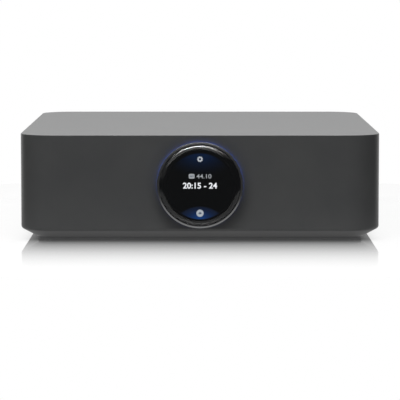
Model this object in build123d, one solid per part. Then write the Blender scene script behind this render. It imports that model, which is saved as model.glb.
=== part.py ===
from build123d import *
import math
import os

# A compact streaming amplifier: a one-piece metal shell on a base plate, a round
# display inside a turning volume ring, and the boards, supply and sockets inside.
# Millimetres, +Z up, the front faces -Y. "Depth" is the distance behind the flat
# front face, so pieces in front of it have a negative depth.

# Case
body_width = 240.0
body_depth = 264.6
body_height = 71.1
corner_radius = 22.3
wall = 3.0
top_edge_radius = 0.3
foot_proud = 0.4
lip_top = 1.9
chamfer_top = 8.0
chamfer_inset = 11.4
rim_width = 9.0
rim_thickness = 3.4
plate_step = 1.1
register_gap = 0.3
crease_radius = 2.5

# Making: how far a cut passes the face it opens, and the slack when a face is picked by its place
cut_over = 1.0
pick = 0.01
bend_share = 0.45

# Feet
foot_radius = 11.0
foot_recess = 1.0
foot_edge = 0.3
foot_from_side = 32.0
foot_from_end = 32.0

# Screws: M3 with countersunk heads
screw_radius = 1.5
screw_clearance_radius = 1.7
screw_head_radius = 2.7
screw_head_clearance = 0.1
thread_gap = 0.05
drive_radius = 1.0
drive_depth = 0.8
drive_share = 0.62
countersink_reach = 12.0
boss_root = 0.5
base_boss_radius = 3.6
base_boss_height = 4.2
base_screw_length = 6.2
base_screw_inset = 16.0

# Dial and display, on an axis from front to back
dial_room_top = 4.2
dial_room_bottom = 2.1
ring_skirt = 1.4
ring_front = 6.3
ring_web = 1.2
ring_gap = 0.3
ring_sleeve_wall = 1.4
ring_outer_edge = 0.9
ring_inner_edge = 0.3
ring_sleeve_reach = 8.0
glass_front = 8.0
glass_thickness = 3.4
glass_lead_width = 0.6
glass_lead_angle = 21.0
glass_slope_width = 2.6
glass_slope_angle = 43.0
glass_border = 3.7
panel_thickness = 1.2
cup_floor = 1.0
cup_side_gap = 0.1
glass_side_gap = 0.3
spindle_room = 7.65
spindle_wall = 4.25
running_gap = 0.05
light_ring_proud = 0.5
light_ring_recess = 0.5
light_ring_set_in = 0.45
magnet_gap = 0.5
light_sleeve_wall = 1.3
light_sleeve_reach = 9.6
seat_gap = 0.2
magnet_wall = 1.0
magnet_length = 2.5
retainer_thickness = 1.0
retainer_groove = 0.75
retainer_rim = 1.25
retainer_seat_gap = 0.05
retainer_opening = 4.0
end_float = 0.1
dial_boss_out = 2.6
dial_boss_in = 6.4
dial_boss_radius = 3.8
dial_boss_reach = 12.6
board_thickness = 1.6
display_board_out = 0.1
display_board_bore_gap = 0.65
bracket_thickness = 2.0
bracket_margin = 4.5
bracket_land = 5.6
spindle_screw_radius = 1.0
flex_thickness = 0.3
flex_width = 12.0
flex_slot = 2.4
flex_side_room = 1.0
flex_notch_room = 2.0
flex_bend = 3.0
flex_plug_height = 3.4
flex_plug_depth = 2.9
lamp_size = 1.6
lamp_height = 0.9
lamp_count = 16
sensor_size = 1.4
sensor_height = 1.1
display_plug_width = 9.0
display_plug_height = 4.0
display_plug_depth = 5.0
display_plug_shift = 0.2
flex_plug_shift = 0.4
plug_room = 0.5
thread_depth = 6.0
spindle_thread_depth = 5.0

# Boards, seen from above, and what is fixed to them
board_side_room = 22.0
board_corner = 2.0
main_back_room = 14.1
main_length = 74.5
main_bottom = 20.4
main_left_margin = 5.0
main_overhang = 24.0
amp_width = 118.0
amp_length = 108.0
amp_gap = 14.0
amp_bottom = 12.0
power_width = 59.0
power_length = 172.0
power_back_room = 38.6
power_bottom = 13.0
power_out = 1.0
standoff_radius = 3.0
standoff_inset = 5.0
standoff_spigot = 2.0
standoff_spigot_depth = 0.7

# Rear panel and what passes through it
panel_corner_room = 1.7
panel_bottom = 13.0
panel_top_room = 8.1
panel_plate = 2.5
panel_corner = 4.0
panel_gap = 0.2
panel_flange = 8.0
panel_flange_short = 5.0
panel_back_wall = 3.0
panel_screw_inset_x = 4.0
panel_screw_inset_z = 4.5
cutout_gap = 0.3

# Speaker terminals
terminal_pitch = 19.05
terminal_base_margin = 10.0
terminal_base_proud = 2.0
terminal_collar_radius = 5.0
terminal_base_corner = 4.0
post_radius = 3.5
post_flat = 2.9
post_flange_radius = 5.6
post_flange = 1.0
banana_radius = 2.0
banana_depth = 14.5
post_set_back = 0.4
wire_hole_radius = 1.25
cap_radius = 7.0
cap_length = 18.0
cap_flutes = 12
cap_flute_radius = 0.9
cap_flute_out = 0.3
cap_flute_start = 2.5
cap_flute_end = 1.5
cap_edge_radius = 0.7
cap_hub_gap = 0.3
washer_radius = 6.6
washer_thickness = 1.2
washer_hub_radius = 4.9
washer_hub = 1.8
washer_key_gap = 0.1
cap_mouth_radius = 2.7
cap_mouth_wall = 1.5

# Mains inlet
inlet_width = 27.0
inlet_height = 20.0
inlet_depth = 24.0
inlet_flange = 1.5
inlet_flange_margin = 2.2
inlet_cavity_width = 24.2
inlet_cavity_height = 16.4
inlet_cavity_depth = 16.5
inlet_corner = 4.0
inlet_flange_corner = 2.0
contact_width = 2.0
contact_height = 4.0
contact_length = 11.5
contact_spacing = 7.0
contact_rise = 2.0
tab_length = 8.0

# Low-voltage sockets on the main board
socket_edge_gap = 1.0
socket_proud = 0.2
jack_set_back = 0.3
jack_block_width = 11.0
jack_block_depth = 12.0
jack_block_height = 27.0
jack_pitch = 14.0
jack_radius = 4.15
jack_neck_radius = 3.85
jack_collar_radius = 5.3
jack_collar_gap = 0.05
jack_collar_proud = 0.8
jack_relief = 0.2
jack_bore = 1.6
jack_core_radius = 3.2
jack_reach = 8.0
ethernet_width = 16.0
ethernet_height = 13.6
ethernet_depth = 21.0
port_width = 11.8
port_height = 8.0
port_depth = 13.0
latch_width = 6.2
latch_height = 2.2
optical_width = 9.8
optical_height = 10.4
optical_depth = 14.0
optical_port = 6.6
optical_port_depth = 8.5
shutter_thickness = 0.8
shutter_pin_radius = 0.5
shutter_drop = 0.7
shutter_inset = 1.4
shutter_gap = 0.3
hdmi_width = 15.0
hdmi_height = 5.6
hdmi_depth = 12.0
usb_width = 13.2
usb_height = 5.8
usb_depth = 14.0
shell_sheet = 0.4
button_radius = 1.75
button_collar_radius = 2.55
button_collar = 1.5
button_tip_radius = 1.2
button_travel = 0.8
button_proud = 0.6
button_height = 3.5
switch_width = 6.0
switch_height = 7.0
switch_depth = 4.0
switch_back_room = 5.0
switch_floor = 1.0
jack_back = 3.0
jack_core_set_back = 0.8
jack_bore_depth = 12.0
port_rise = 1.6
port_contact = 4.0
port_contacts = 8
port_contact_pitch = 1.02
port_contact_width = 0.4
port_contact_height = 0.5
shutter_pin_length = 0.6
optical_lens_radius = 1.2
optical_lens_back = 0.5
optical_lens_proud = 0.4
shell_back = 3.0
tongue_set_back = 1.5
tongue_thickness = 1.3
hdmi_tongue_width = 11.0
hdmi_tongue_z = 2.1
usb_tongue_width = 10.4
usb_tongue_z = 3.2
rear_vent_z = 42.5
rear_vent_length = 8.0
rear_vent_width = 2.0
rear_vent_pitch = 4.4
collar_reach = 1.5
nut_thickness = 3.0
nut_radius = 6.2
post_back = 4.0
tail_radius = 1.4
tail_length = 5.0

# Heat sink, coils and capacitors on the amplifier board
sink_width = 88.0
sink_length = 44.0
sink_base = 4.0
sink_fin = 1.6
sink_fins = 12
sink_height = 26.0
sink_leg = 8.0
sink_from_near = 50.0
chip_width = 18.0
chip_length = 14.0
chip_height = 2.2
chip_spacing = 36.0
coil_size = 15.0
coil_height = 9.0
coil_corner = 3.0
coil_lid_margin = 2.0
coil_lid_height = 1.2
coil_pitch = 19.0
coil_from_left = 32.0
coil_from_near = 82.0
supply_can_radius = 9.0
supply_can_height = 30.0
supply_can_pitch = 21.0
supply_can_from_left = 28.0
supply_can_from_near = 14.0
can_groove = 2.0
vent_side_room = 10.0
vent_end_room = 26.0
vent_pitch = 6.5
vent_length = 26.0
vent_width = 2.6

# Parts on the boards: from the right edge, from the near edge, width, length, height
main_chips = [(88.0, 18.0, 9.0, 7.0, 1.2), (75.0, 44.0, 9.0, 9.0, 1.1), (47.0, 22.0, 15.0, 15.0, 1.5),
              (45.0, 44.0, 7.0, 7.0, 1.0), (21.0, 42.0, 10.0, 10.0, 1.2)]
display_plug = (45.0, 5.5, 9.0, 5.0, 5.0)
main_ribbon_plug = (73.0, 5.5, 20.0, 5.0, 6.0)
shield = (47.0, 22.0, 34.0, 22.0, 4.0)
shield_sheet = 0.3
radio = (17.0, 20.0, 16.0, 18.0, 1.0)
radio_lid = 2.0
radio_lid_margin = 1.0
radio_plug_room = 3.6
radio_plug_radius = 1.0
radio_plug_height = 1.2
radio_plug_out = 3.2
speaker_plug = (94.0, 94.5, 20.0, 8.0, 10.0)
amp_ribbon_plug = (73.0, 102.5, 20.0, 5.0, 6.0)
amp_small_chips = [(52.0, 102.0, 6.0, 4.0, 1.6), (38.0, 102.0, 6.0, 4.0, 1.6), (24.0, 96.0, 6.0, 6.0, 1.2)]
supply_plug_from_left = 6.5
supply_plug_from_near = 30.0
supply_plug_width = 7.0
supply_plug_length = 20.0
supply_plug_height = 9.0
ribbon_bend = 4.0
ribbon_thickness = 0.5
ribbon_edge = 1.0
ribbon_rise = 10.0

# Parts on the power board: from the left edge, from the far edge, width, length, height
mains_plug = (19.0, 9.0, 16.0, 8.0, 10.0)
power_plug = (38.0, 165.0, 22.0, 8.0, 10.0)
power_fin = (10.0, 76.0, 5.0, 30.0, 18.0)
filter_box = (13.0, 24.0, 18.0, 6.0, 12.0)
fuse_holder = (42.0, 22.0, 6.0, 20.0, 9.0)
bulk_cans = [(43.0, 76.0, 11.0, 34.0), (43.0, 52.0, 11.0, 34.0), (12.0, 150.0, 8.0, 28.0)]
choke_from_left = 15.0
choke_from_far = 44.0
choke_ring_radius = 6.6
choke_wire_radius = 2.9
choke_base = 3.0
choke_base_margin = 1.5
choke_base_side = 4.0
choke_seat = 0.6
transformer_from_left = 29.5
transformer_from_far = 118.0
core_width = 40.0
core_depth = 15.0
core_height = 30.0
core_leg = 6.0
coil_depth = 28.0
bobbin_foot = 3.0
bobbin_inset = 2.0
bobbin_overhang = 2.0
winding_gap = 0.2
sheet_thickness = 0.5
sheet_left_in = 1.0
sheet_right_out = 2.0
sheet_end_out = 3.0

# Aerials and wires
antenna_spread = 15.0
antenna_room = 5.0
antenna_length = 24.0
antenna_height = 7.0
antenna_thickness = 1.0
antenna_lead_radius = 0.6
antenna_lead_rise = 10.0
antenna_lead_run = 12.0
antenna_lead_climb = 21.0
mains_wire_radius = 1.3
mains_wire_pitch = 8.0
mains_wire_exit = 6.0
mains_wire_rise = 7.0
harness_radius = 1.2
harness_pitch = 4.6
harness_rise = 12.0
harness_slope = 2.0
harness_leads = 4
speaker_rise = 12.0
speaker_run = 12.0
speaker_climb = 20.0
speaker_step = 2.0
speaker_tail_run = 14.0
speaker_lane_room = 22.1
cable_lane_room = 12.1
display_cable_radius = 1.8
cable_exit = 14.0
cable_rise = 10.0
earth_from_power = 9.0
earth_from_far = 22.0
earth_exit = 7.0
earth_side = 18.0
earth_back = 10.0
earth_drop = 12.0
earth_run = 14.0
earth_foot = 8.0
earth_rise = 10.0
lug_radius = 4.0
lug_thickness = 0.8
lug_bore = 2.0
lug_nut_radius = 3.4
sensor_angles = (60.0, 105.0)
pan_head = 1.8
board_screw_length = 6.0
dial_screw_length = 7.0
spindle_screw_length = 6.0
spindle_head_radius = 2.1

# Places worked out from the sizes
cap_start = body_depth + terminal_base_proud + post_flange + washer_thickness + 2 * end_float
cap_end = cap_start + cap_length
post_end = cap_end - cap_mouth_wall - post_set_back
y_front = glass_front - (glass_front + cap_end) / 2
y_middle = y_front + body_depth / 2
chamfer_rise = chamfer_top - lip_top
rim_top = lip_top + rim_thickness
rim_inner = chamfer_inset + rim_width
plate_top = lip_top + plate_step
inner_chamfer_top = rim_top + (chamfer_inset - wall) * chamfer_rise / chamfer_inset
ceiling = body_height - wall
ring_outer_radius = (body_height - dial_room_top - chamfer_top - dial_room_bottom) / 2
dial_height = chamfer_top + dial_room_bottom + ring_outer_radius
glass_radius = ring_outer_radius - ring_skirt - glass_side_gap
panel_radius = glass_radius - glass_border
spindle_radius = ring_outer_radius - spindle_room
spindle_screw_circle = spindle_radius - spindle_wall / 2
bracket_bore = spindle_screw_circle - bracket_land
retainer_radius = spindle_radius + retainer_rim
dial_boss_x = ring_outer_radius + dial_boss_out
dial_boss_z = ring_outer_radius - dial_boss_in
display_board_radius = ring_outer_radius + display_board_out
display_board_bore = spindle_radius + display_board_bore_gap
light_ring_radius = ring_outer_radius - light_ring_set_in
ring_bore = spindle_radius + running_gap
ring_sleeve_radius = ring_bore + ring_sleeve_wall
light_sleeve_bore = ring_sleeve_radius + magnet_wall + magnet_gap
light_sleeve_radius = light_sleeve_bore + light_sleeve_wall
ring_back = light_ring_proud + ring_gap
cup_back = ring_back + ring_web + ring_gap
cup_radius = glass_radius - cup_side_gap
glass_back = glass_front - glass_thickness
retainer_depth = ring_sleeve_reach + end_float
front_hole_radius = light_sleeve_radius + seat_gap
panel_width = body_width - 2 * (corner_radius + panel_corner_room)
panel_height = body_height - panel_top_room - panel_bottom
panel_centre_z = panel_bottom + panel_height / 2
window_width = panel_width - 2 * panel_flange
window_height = panel_height - 2 * panel_flange_short
terminal_base_width = terminal_pitch + 2 * terminal_base_margin
socket_widths = [inlet_width, terminal_base_width, jack_block_width, jack_block_width,
                 optical_width, usb_width, hdmi_width, ethernet_width, 2 * button_collar_radius]
socket_spare = window_width - 2 * socket_edge_gap - sum(socket_widths)
socket_gap = socket_spare / (len(socket_widths) - 1)
main_top = main_bottom + board_thickness
amp_top = amp_bottom + board_thickness
power_top = power_bottom + board_thickness
panel_outside = body_depth
panel_inside = body_depth - panel_plate
thread_radius = screw_radius + thread_gap
antenna_z = panel_centre_z + window_height / 2 - antenna_room
speaker_lane = ceiling - speaker_lane_room
cable_lane = ceiling - cable_lane_room


def socket_x(number):
    """X of the middle of one of the rear sockets, spaced evenly across the window."""
    left = -window_width / 2 + socket_edge_gap + sum(socket_widths[:number]) + number * socket_gap
    return left + socket_widths[number] / 2


inlet_x = socket_x(0)
terminal_x = (socket_x(1) - terminal_pitch / 2, socket_x(1) + terminal_pitch / 2)
terminal_z = (panel_centre_z - terminal_pitch / 2, panel_centre_z + terminal_pitch / 2)
line_x = socket_x(2)
output_x = socket_x(3)
optical_x = socket_x(4)
usb_x = socket_x(5)
hdmi_x = socket_x(6)
ethernet_x = socket_x(7)
reset_x = socket_x(8)
main_left = line_x - jack_block_width / 2 - main_left_margin
main_right = body_width / 2 - board_side_room
main_far = body_depth - main_back_room
main_near = main_far - main_length
amp_right = main_right
amp_left = amp_right - amp_width
amp_far = main_near - amp_gap
amp_near = amp_far - amp_length
power_left = -main_right - power_out
power_right = power_left + power_width
power_far = body_depth - power_back_room
power_near = power_far - power_length


def block(x0, x1, near, far, z0, z1):
    """Box between two places across, two depths and two heights."""
    solid = Box(x1 - x0, far - near, z1 - z0, align=(Align.MIN, Align.MIN, Align.MIN))
    return Pos(x0, y_front + near, z0) * solid


def centred(x, depth, z0, across_x, along, tall):
    """Box standing on z0, centred on x and a depth."""
    half, reach = across_x / 2, along / 2
    return block(x - half, x + half, depth - reach, depth + reach, z0, z0 + tall)


def upright(sketch, z0, z1):
    """Solid over a plan sketch, from one height to another."""
    return extrude(Pos(0, 0, z0) * sketch, z1 - z0)


def through(sketch, near, far):
    """Solid between two depths whose section is drawn as X and Z."""
    plane = Plane(origin=(0, y_front + far, 0), x_dir=(1, 0, 0), z_dir=(0, -1, 0))
    return extrude(plane * sketch, far - near)


def disc(x, z, radius, near, far, bore=0.0):
    """Round piece or tube whose axis runs from front to back."""
    sketch = Circle(radius) - Circle(bore) if bore else Circle(radius)
    return through(Pos(x, z) * sketch, near, far)


def pillar(x, depth, radius, z0, z1, bore=0.0):
    """Round piece or tube whose axis is upright."""
    sketch = Circle(radius) - Circle(bore) if bore else Circle(radius)
    return upright(Pos(x, y_front + depth) * sketch, z0, z1)


def cone_y(x, z, radius_near, radius_far, near, far):
    """Cone along the front-to-back axis."""
    solid = Cone(radius_near, radius_far, far - near)
    return Pos(x, y_front + (near + far) / 2, z) * Rot(-90, 0, 0) * solid


def plan_outline(inset):
    """The body's outline seen from above, drawn in by an inset."""
    width = body_width - 2 * inset
    depth = body_depth - 2 * inset
    return Pos(0, y_middle) * RectangleRounded(width, depth, corner_radius - inset)


def slope(inset0, z0, inset1, z1):
    """Solid between two outlines at two heights, with flat sloping sides."""
    lower = Pos(0, 0, z0) * plan_outline(inset0)
    upper = Pos(0, 0, z1) * plan_outline(inset1)
    return loft([lower.face(), upper.face()], ruled=True)


def joined(pieces):
    """One shape from several pieces that touch or cross."""
    result = pieces[0]
    for piece in pieces[1:]:
        result = result + piece
    return result


def group(pieces):
    """Separate solids kept in one node."""
    solids = []
    for piece in pieces:
        solids.extend(piece.solids())
    return Compound(children=solids)


def save(name, shape):
    export_step(shape, f"parts/{name}.step")


def tapered_hole_down(x, depth, z):
    """Countersunk clearance hole for a screw whose head is at the bottom."""
    head = screw_head_radius + screw_head_clearance
    rise = head - screw_clearance_radius
    cone = Cone(head, screw_clearance_radius, rise)
    reach = plate_top + cut_over
    shank = Cylinder(screw_clearance_radius, reach)
    return Pos(x, y_front + depth, z) * (Pos(0, 0, rise / 2) * cone + Pos(0, 0, reach / 2) * shank)


def screw_up(x, depth, z, length):
    """Countersunk screw pointing up, its head's face at z."""
    rise = screw_head_radius - screw_radius
    head = Cone(screw_head_radius, screw_radius, rise)
    shank = Cylinder(screw_radius, length - rise)
    drive = extrude(RegularPolygon(drive_radius, 6), drive_depth)
    body = Pos(0, 0, rise / 2) * head + Pos(0, 0, (length + rise) / 2) * shank - drive
    return Pos(x, y_front + depth, z) * body


def screw_along(x, z, depth, length, direction, radius=screw_radius, head=screw_head_radius):
    """Countersunk screw along Y, its head's face at a depth; direction 1 points back."""
    rise = head - radius
    cone = Cone(head, radius, rise)
    shank = Cylinder(radius, length - rise)
    drive = extrude(RegularPolygon(radius * drive_share, 6), drive_depth)
    body = Pos(0, 0, rise / 2) * cone + Pos(0, 0, (length + rise) / 2) * shank - drive
    return Pos(x, y_front + depth, z) * Rot(-90 * direction, 0, 0) * body


def wire(points, radius, label):
    """Round wire along straight runs joined by arcs as large as the runs allow."""
    path_points = [Vector(x, y_front + depth, z) for x, depth, z in points]
    runs = [b - a for a, b in zip(path_points, path_points[1:])]
    radii = []
    for before, after in zip(runs, runs[1:]):
        turn = math.radians(before.get_angle(after))
        radii.append(bend_share * min(before.length, after.length) / math.tan(turn / 2))
    path = FilletPolyline(*path_points, radius=radii)
    section = Plane(origin=path @ 0, z_dir=path % 0) * Circle(radius)
    solid = sweep(section, path=path)
    expected = math.pi * radius ** 2 * path.length
    print(label, "radii", [round(r, 1) for r in radii], "volume share", round(solid.volume / expected, 4))
    return solid


# Pieces of the case


def base_screw_places():
    """X and depth of the screws between the base plate and the shell."""
    corner = corner_radius - base_screw_inset
    lean = (corner_radius - corner * math.sqrt(0.5))
    x_corner = body_width / 2 - lean
    x_side = body_width / 2 - base_screw_inset
    places = []
    for side in (-1, 1):
        places.append((side * x_corner, lean))
        places.append((side * x_corner, body_depth - lean))
        places.append((side * x_side, body_depth / 2))
    places.append((0.0, base_screw_inset))
    places.append((0.0, body_depth - base_screw_inset))
    return places


def dial_boss_places():
    return [(sx * dial_boss_x, dial_height + sz * dial_boss_z) for sx in (-1, 1) for sz in (-1, 1)]


def rear_screw_places():
    """X and Z of the screws that hold the rear panel."""
    x_out = panel_width / 2 - panel_screw_inset_x
    z_out = panel_height / 2 - panel_screw_inset_z
    return [(sx * x_out, panel_centre_z + z) for sx in (-1, 1) for z in (-z_out, 0.0, z_out)]


def make_housing():
    """The shell: top, walls, wide chamfer and the rim that the base plate closes."""
    outer = slope(chamfer_inset, lip_top, 0.0, chamfer_top)
    outer = outer + upright(plan_outline(0.0), chamfer_top, body_height)
    crown = outer.edges().filter_by_position(Axis.Z, body_height - pick, body_height + pick)
    outer = fillet(crown, top_edge_radius)
    crease = outer.edges().filter_by_position(Axis.Z, chamfer_top - pick, chamfer_top + pick)
    outer = fillet(crease, crease_radius)
    cavity = slope(chamfer_inset, rim_top, wall, inner_chamfer_top)
    cavity = cavity + upright(plan_outline(wall), inner_chamfer_top, ceiling)
    shell = outer - cavity - upright(plan_outline(rim_inner), lip_top - cut_over, rim_top + cut_over)
    for x, depth in base_screw_places():
        boss = pillar(x, depth, base_boss_radius, rim_top - boss_root, rim_top + base_boss_height)
        hole = pillar(x, depth, thread_radius, lip_top - cut_over, lip_top + base_screw_length)
        shell = shell + boss - hole
    shell = shell - disc(0, dial_height, front_hole_radius, -cut_over, wall + cut_over)
    shell = shell - disc(0, dial_height, light_ring_radius + seat_gap / 2, -cut_over, light_ring_recess)
    for x, z in dial_boss_places():
        boss = disc(x, z, dial_boss_radius, wall - boss_root, dial_boss_reach)
        shell = shell + boss - disc(x, z, thread_radius, dial_boss_reach - thread_depth,
                             dial_boss_reach + cut_over)
    frame_back = panel_inside - panel_back_wall
    frame_width = panel_width + 2 * wall
    frame_height = panel_height + 2 * wall
    frame = Pos(0, panel_centre_z) * RectangleRounded(frame_width, frame_height, panel_corner + wall)
    shell = shell + through(frame, frame_back, body_depth - wall / 2)
    rabbet_width = panel_width + 2 * panel_gap
    rabbet_height = panel_height + 2 * panel_gap
    rabbet = Pos(0, panel_centre_z) * RectangleRounded(rabbet_width, rabbet_height, panel_corner)
    shell = shell - through(rabbet, panel_inside, body_depth + cut_over)
    window = Pos(0, panel_centre_z) * RectangleRounded(window_width, window_height, panel_corner)
    shell = shell - through(window, frame_back - cut_over, body_depth + cut_over)
    for x, z in rear_screw_places():
        shell = shell - disc(x, z, thread_radius, frame_back - cut_over, body_depth)
    return shell


def vent_slots():
    """Rounded slots through the base plate under the amplifier."""
    slots = []
    count = int((amp_width - 2 * vent_side_room) / vent_pitch) + 1
    for depth in (amp_near + vent_end_room, amp_far - vent_end_room):
        for i in range(count):
            x = amp_left + vent_side_room + i * vent_pitch
            slot = SlotCenterToCenter(vent_length, vent_width, rotation=90)
            slots.append(Pos(x, y_front + depth) * slot)
    return slots


def foot_places():
    x_out = body_width / 2 - foot_from_side
    return [(sx * x_out, d) for sx in (-1, 1) for d in (foot_from_end, body_depth - foot_from_end)]


def boards():
    """Left, right, near and far edges and underside of each board, and its overhang."""
    return [
        (main_left, main_right, main_near, main_far, main_bottom, main_overhang),
        (amp_left, amp_right, amp_near, amp_far, amp_bottom, 0.0),
        (power_left, power_right, power_near, power_far, power_bottom, 0.0),
    ]


def corner_places(left, right, near, far, overhang):
    """X and depth of a board's four fixing holes."""
    xs = (left + standoff_inset, right - standoff_inset)
    depths = (near + standoff_inset, far - overhang - standoff_inset)
    return [(x, depth) for x in xs for depth in depths]


def standoff_places():
    """X, depth and top height of every board support."""
    places = []
    for left, right, near, far, bottom, overhang in boards():
        for x, depth in corner_places(left, right, near, far, overhang):
            places.append((x, depth, bottom))
    return places


def make_base_plate():
    plate = upright(plan_outline(chamfer_inset), foot_proud, lip_top)
    plate = plate + upright(plan_outline(rim_inner + register_gap), lip_top, plate_top)
    for x, depth in base_screw_places():
        plate = plate - tapered_hole_down(x, depth, foot_proud)
    for x, depth in foot_places():
        plate = plate - pillar(x, depth, foot_radius + seat_gap, 0.0, foot_proud + foot_recess)
    for x, depth, _ in standoff_places():
        plate = plate - pillar(x, depth, standoff_spigot, plate_top - standoff_spigot_depth,
                               plate_top + cut_over)
    return plate - upright(joined(vent_slots()), 0.0, plate_top + cut_over)


def make_feet():
    feet = []
    for x, depth in foot_places():
        foot = pillar(x, depth, foot_radius, 0.0, foot_proud + foot_recess)
        low = foot.edges().filter_by_position(Axis.Z, -pick, pick)
        feet.append(fillet(low, foot_edge))
    return group(feet)


def make_base_screws():
    return group([screw_up(x, d, foot_proud, base_screw_length) for x, d in base_screw_places()])


def make_rear_screws():
    length = panel_plate + panel_back_wall
    return group([screw_along(x, z, body_depth, length, -1) for x, z in rear_screw_places()])


# Pieces of the dial


def make_light_ring():
    """Clear ring that carries light from the lamps inside to the gap behind the dial."""
    flange = disc(0, dial_height, light_ring_radius, -light_ring_proud, light_ring_recess,
                  light_sleeve_bore)
    sleeve = disc(0, dial_height, light_sleeve_radius, light_ring_recess, light_sleeve_reach,
                  light_sleeve_bore)
    return flange + sleeve


def make_volume_ring():
    """Turning ring: outer skirt, web behind the display cup and sleeve through the wall."""
    skirt = disc(0, dial_height, ring_outer_radius, -ring_front, -ring_back,
                 ring_outer_radius - ring_skirt)
    web = disc(0, dial_height, ring_outer_radius - ring_skirt / 2, -ring_back - ring_web, -ring_back,
               ring_bore)
    sleeve = disc(0, dial_height, ring_sleeve_radius, -ring_back, ring_sleeve_reach, ring_bore)
    ring = skirt + web + sleeve
    ring = fillet(front_rim(ring, ring_outer_radius), ring_outer_edge)
    return fillet(front_rim(ring, ring_outer_radius - ring_skirt), ring_inner_edge)


def front_rim(piece, radius):
    """The foremost round edge of that radius."""
    rims = piece.edges().filter_by(GeomType.CIRCLE).sort_by(Axis.Y)
    return [rim for rim in rims if abs(rim.radius - radius) < pick][0]


def make_magnet_ring():
    return disc(0, dial_height, ring_sleeve_radius + magnet_wall,
                ring_sleeve_reach - magnet_length, ring_sleeve_reach, ring_sleeve_radius)


def make_retainer():
    """Open spring ring in the spindle's groove that keeps the volume ring on."""
    near = retainer_depth
    far = near + retainer_thickness
    ring = disc(0, dial_height, retainer_radius, near, far, spindle_radius - retainer_groove)
    half = retainer_opening / 2
    low = dial_height - retainer_radius - cut_over
    return ring - block(-half, half, near - cut_over, far + cut_over, low, dial_height)


def make_display_carrier():
    """Fixed spindle with the cup that holds the display and glass."""
    cup = disc(0, dial_height, cup_radius, -glass_back, -cup_back)
    cup = cup - disc(0, dial_height, panel_radius + seat_gap, -glass_back - cut_over, -cup_back - cup_floor)
    spindle = disc(0, dial_height, spindle_radius, -cup_back, dial_boss_reach)
    carrier = cup + spindle
    carrier = carrier - disc(0, dial_height, spindle_radius - spindle_wall, -cup_back,
                             dial_boss_reach + cut_over)
    slot = Pos(0, dial_height) * RectangleRounded(flex_width + 2 * flex_side_room, flex_slot, flex_slot / 3)
    carrier = carrier - through(slot, -glass_back, cut_over)
    groove = disc(0, dial_height, spindle_radius + cut_over, retainer_depth,
                  retainer_depth + retainer_thickness,
                  spindle_radius - retainer_groove - retainer_seat_gap)
    carrier = carrier - groove
    for x, z in spindle_screw_places():
        carrier = carrier - disc(x, z, spindle_screw_radius + thread_gap,
                                 dial_boss_reach - spindle_thread_depth, dial_boss_reach + cut_over)
    return carrier


def spindle_screw_places():
    return [around_dial(spindle_screw_circle, angle) for angle in (90.0, 210.0, 330.0)]


def make_display_panel():
    near = -glass_back
    far = near + panel_thickness
    return disc(0, dial_height, panel_radius, near, far)


def make_display_glass():
    """Cover glass: flat over the lit area, a quick lead and a long slope down to an upright rim."""
    lead_turn = math.radians(glass_lead_angle)
    slope_turn = math.radians(glass_slope_angle)
    lead_radius = glass_lead_width / math.sin(lead_turn)
    slope_radius = glass_slope_width / (math.sin(slope_turn) - math.sin(lead_turn))
    crest = glass_radius - glass_slope_width
    flat = crest - glass_lead_width
    crest_depth = lead_radius * (1 - math.cos(lead_turn)) - glass_front
    slope_x = crest - slope_radius * math.sin(lead_turn)
    slope_y = crest_depth + slope_radius * math.cos(lead_turn)
    lead = CenterArc((flat, lead_radius - glass_front), lead_radius, -90, glass_lead_angle)
    slope_edge = CenterArc((slope_x, slope_y), slope_radius, glass_lead_angle - 90,
                           glass_slope_angle - glass_lead_angle)
    shoulder = slope_y - slope_radius * math.cos(slope_turn)
    outline = [Line((0, -glass_front), (flat, -glass_front)), lead, slope_edge,
               Line((glass_radius, shoulder), (glass_radius, -glass_back)),
               Line((glass_radius, -glass_back), (0, -glass_back)),
               Line((0, -glass_back), (0, -glass_front))]
    return Pos(0, y_front, dial_height) * revolve(make_face(outline), Axis.Y)


def around_dial(radius, angle):
    """X and Z of a point at a radius and an angle in degrees about the dial's axis."""
    turn = math.radians(angle)
    return radius * math.cos(turn), dial_height + radius * math.sin(turn)


def make_display_board():
    """Ring-shaped board with the lamps for the light ring and the turn sensors."""
    near = dial_boss_reach - board_thickness
    board = disc(0, dial_height, display_board_radius, near, dial_boss_reach, display_board_bore)
    pieces = [board]
    half = lamp_size / 2
    for i in range(lamp_count):
        x, z = around_dial(light_sleeve_radius - light_sleeve_wall / 2, (i + 0.5) * 360 / lamp_count)
        pieces.append(block(x - half, x + half, near - lamp_height, near, z - half, z + half))
    half = sensor_size / 2
    for angle in sensor_angles:
        x, z = around_dial(display_board_bore + sensor_size, angle)
        pieces.append(block(x - half, x + half, near - sensor_height, near, z - half, z + half))
    half = display_plug_width / 2
    low = display_plug_base()
    pieces.append(block(-half, half, dial_boss_reach, dial_boss_reach + display_plug_depth,
                        low, low + display_plug_height))
    half = flex_width / 2 + flex_side_room
    low = flex_plug_mid() - flex_plug_height / 2
    pieces.append(block(-half, half, dial_boss_reach, dial_boss_reach + flex_plug_depth,
                        low, low + flex_plug_height))
    return group(pieces)


def display_plug_base():
    """Underside of the cable's plug at the top of the display board."""
    middle = (display_board_bore + display_board_radius) / 2
    return dial_height + middle - display_plug_height / 2 + display_plug_shift


def flex_plug_mid():
    """Height of the flex's plug at the bottom of the display board."""
    return dial_height - (display_board_bore + display_board_radius) / 2 + flex_plug_shift


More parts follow.
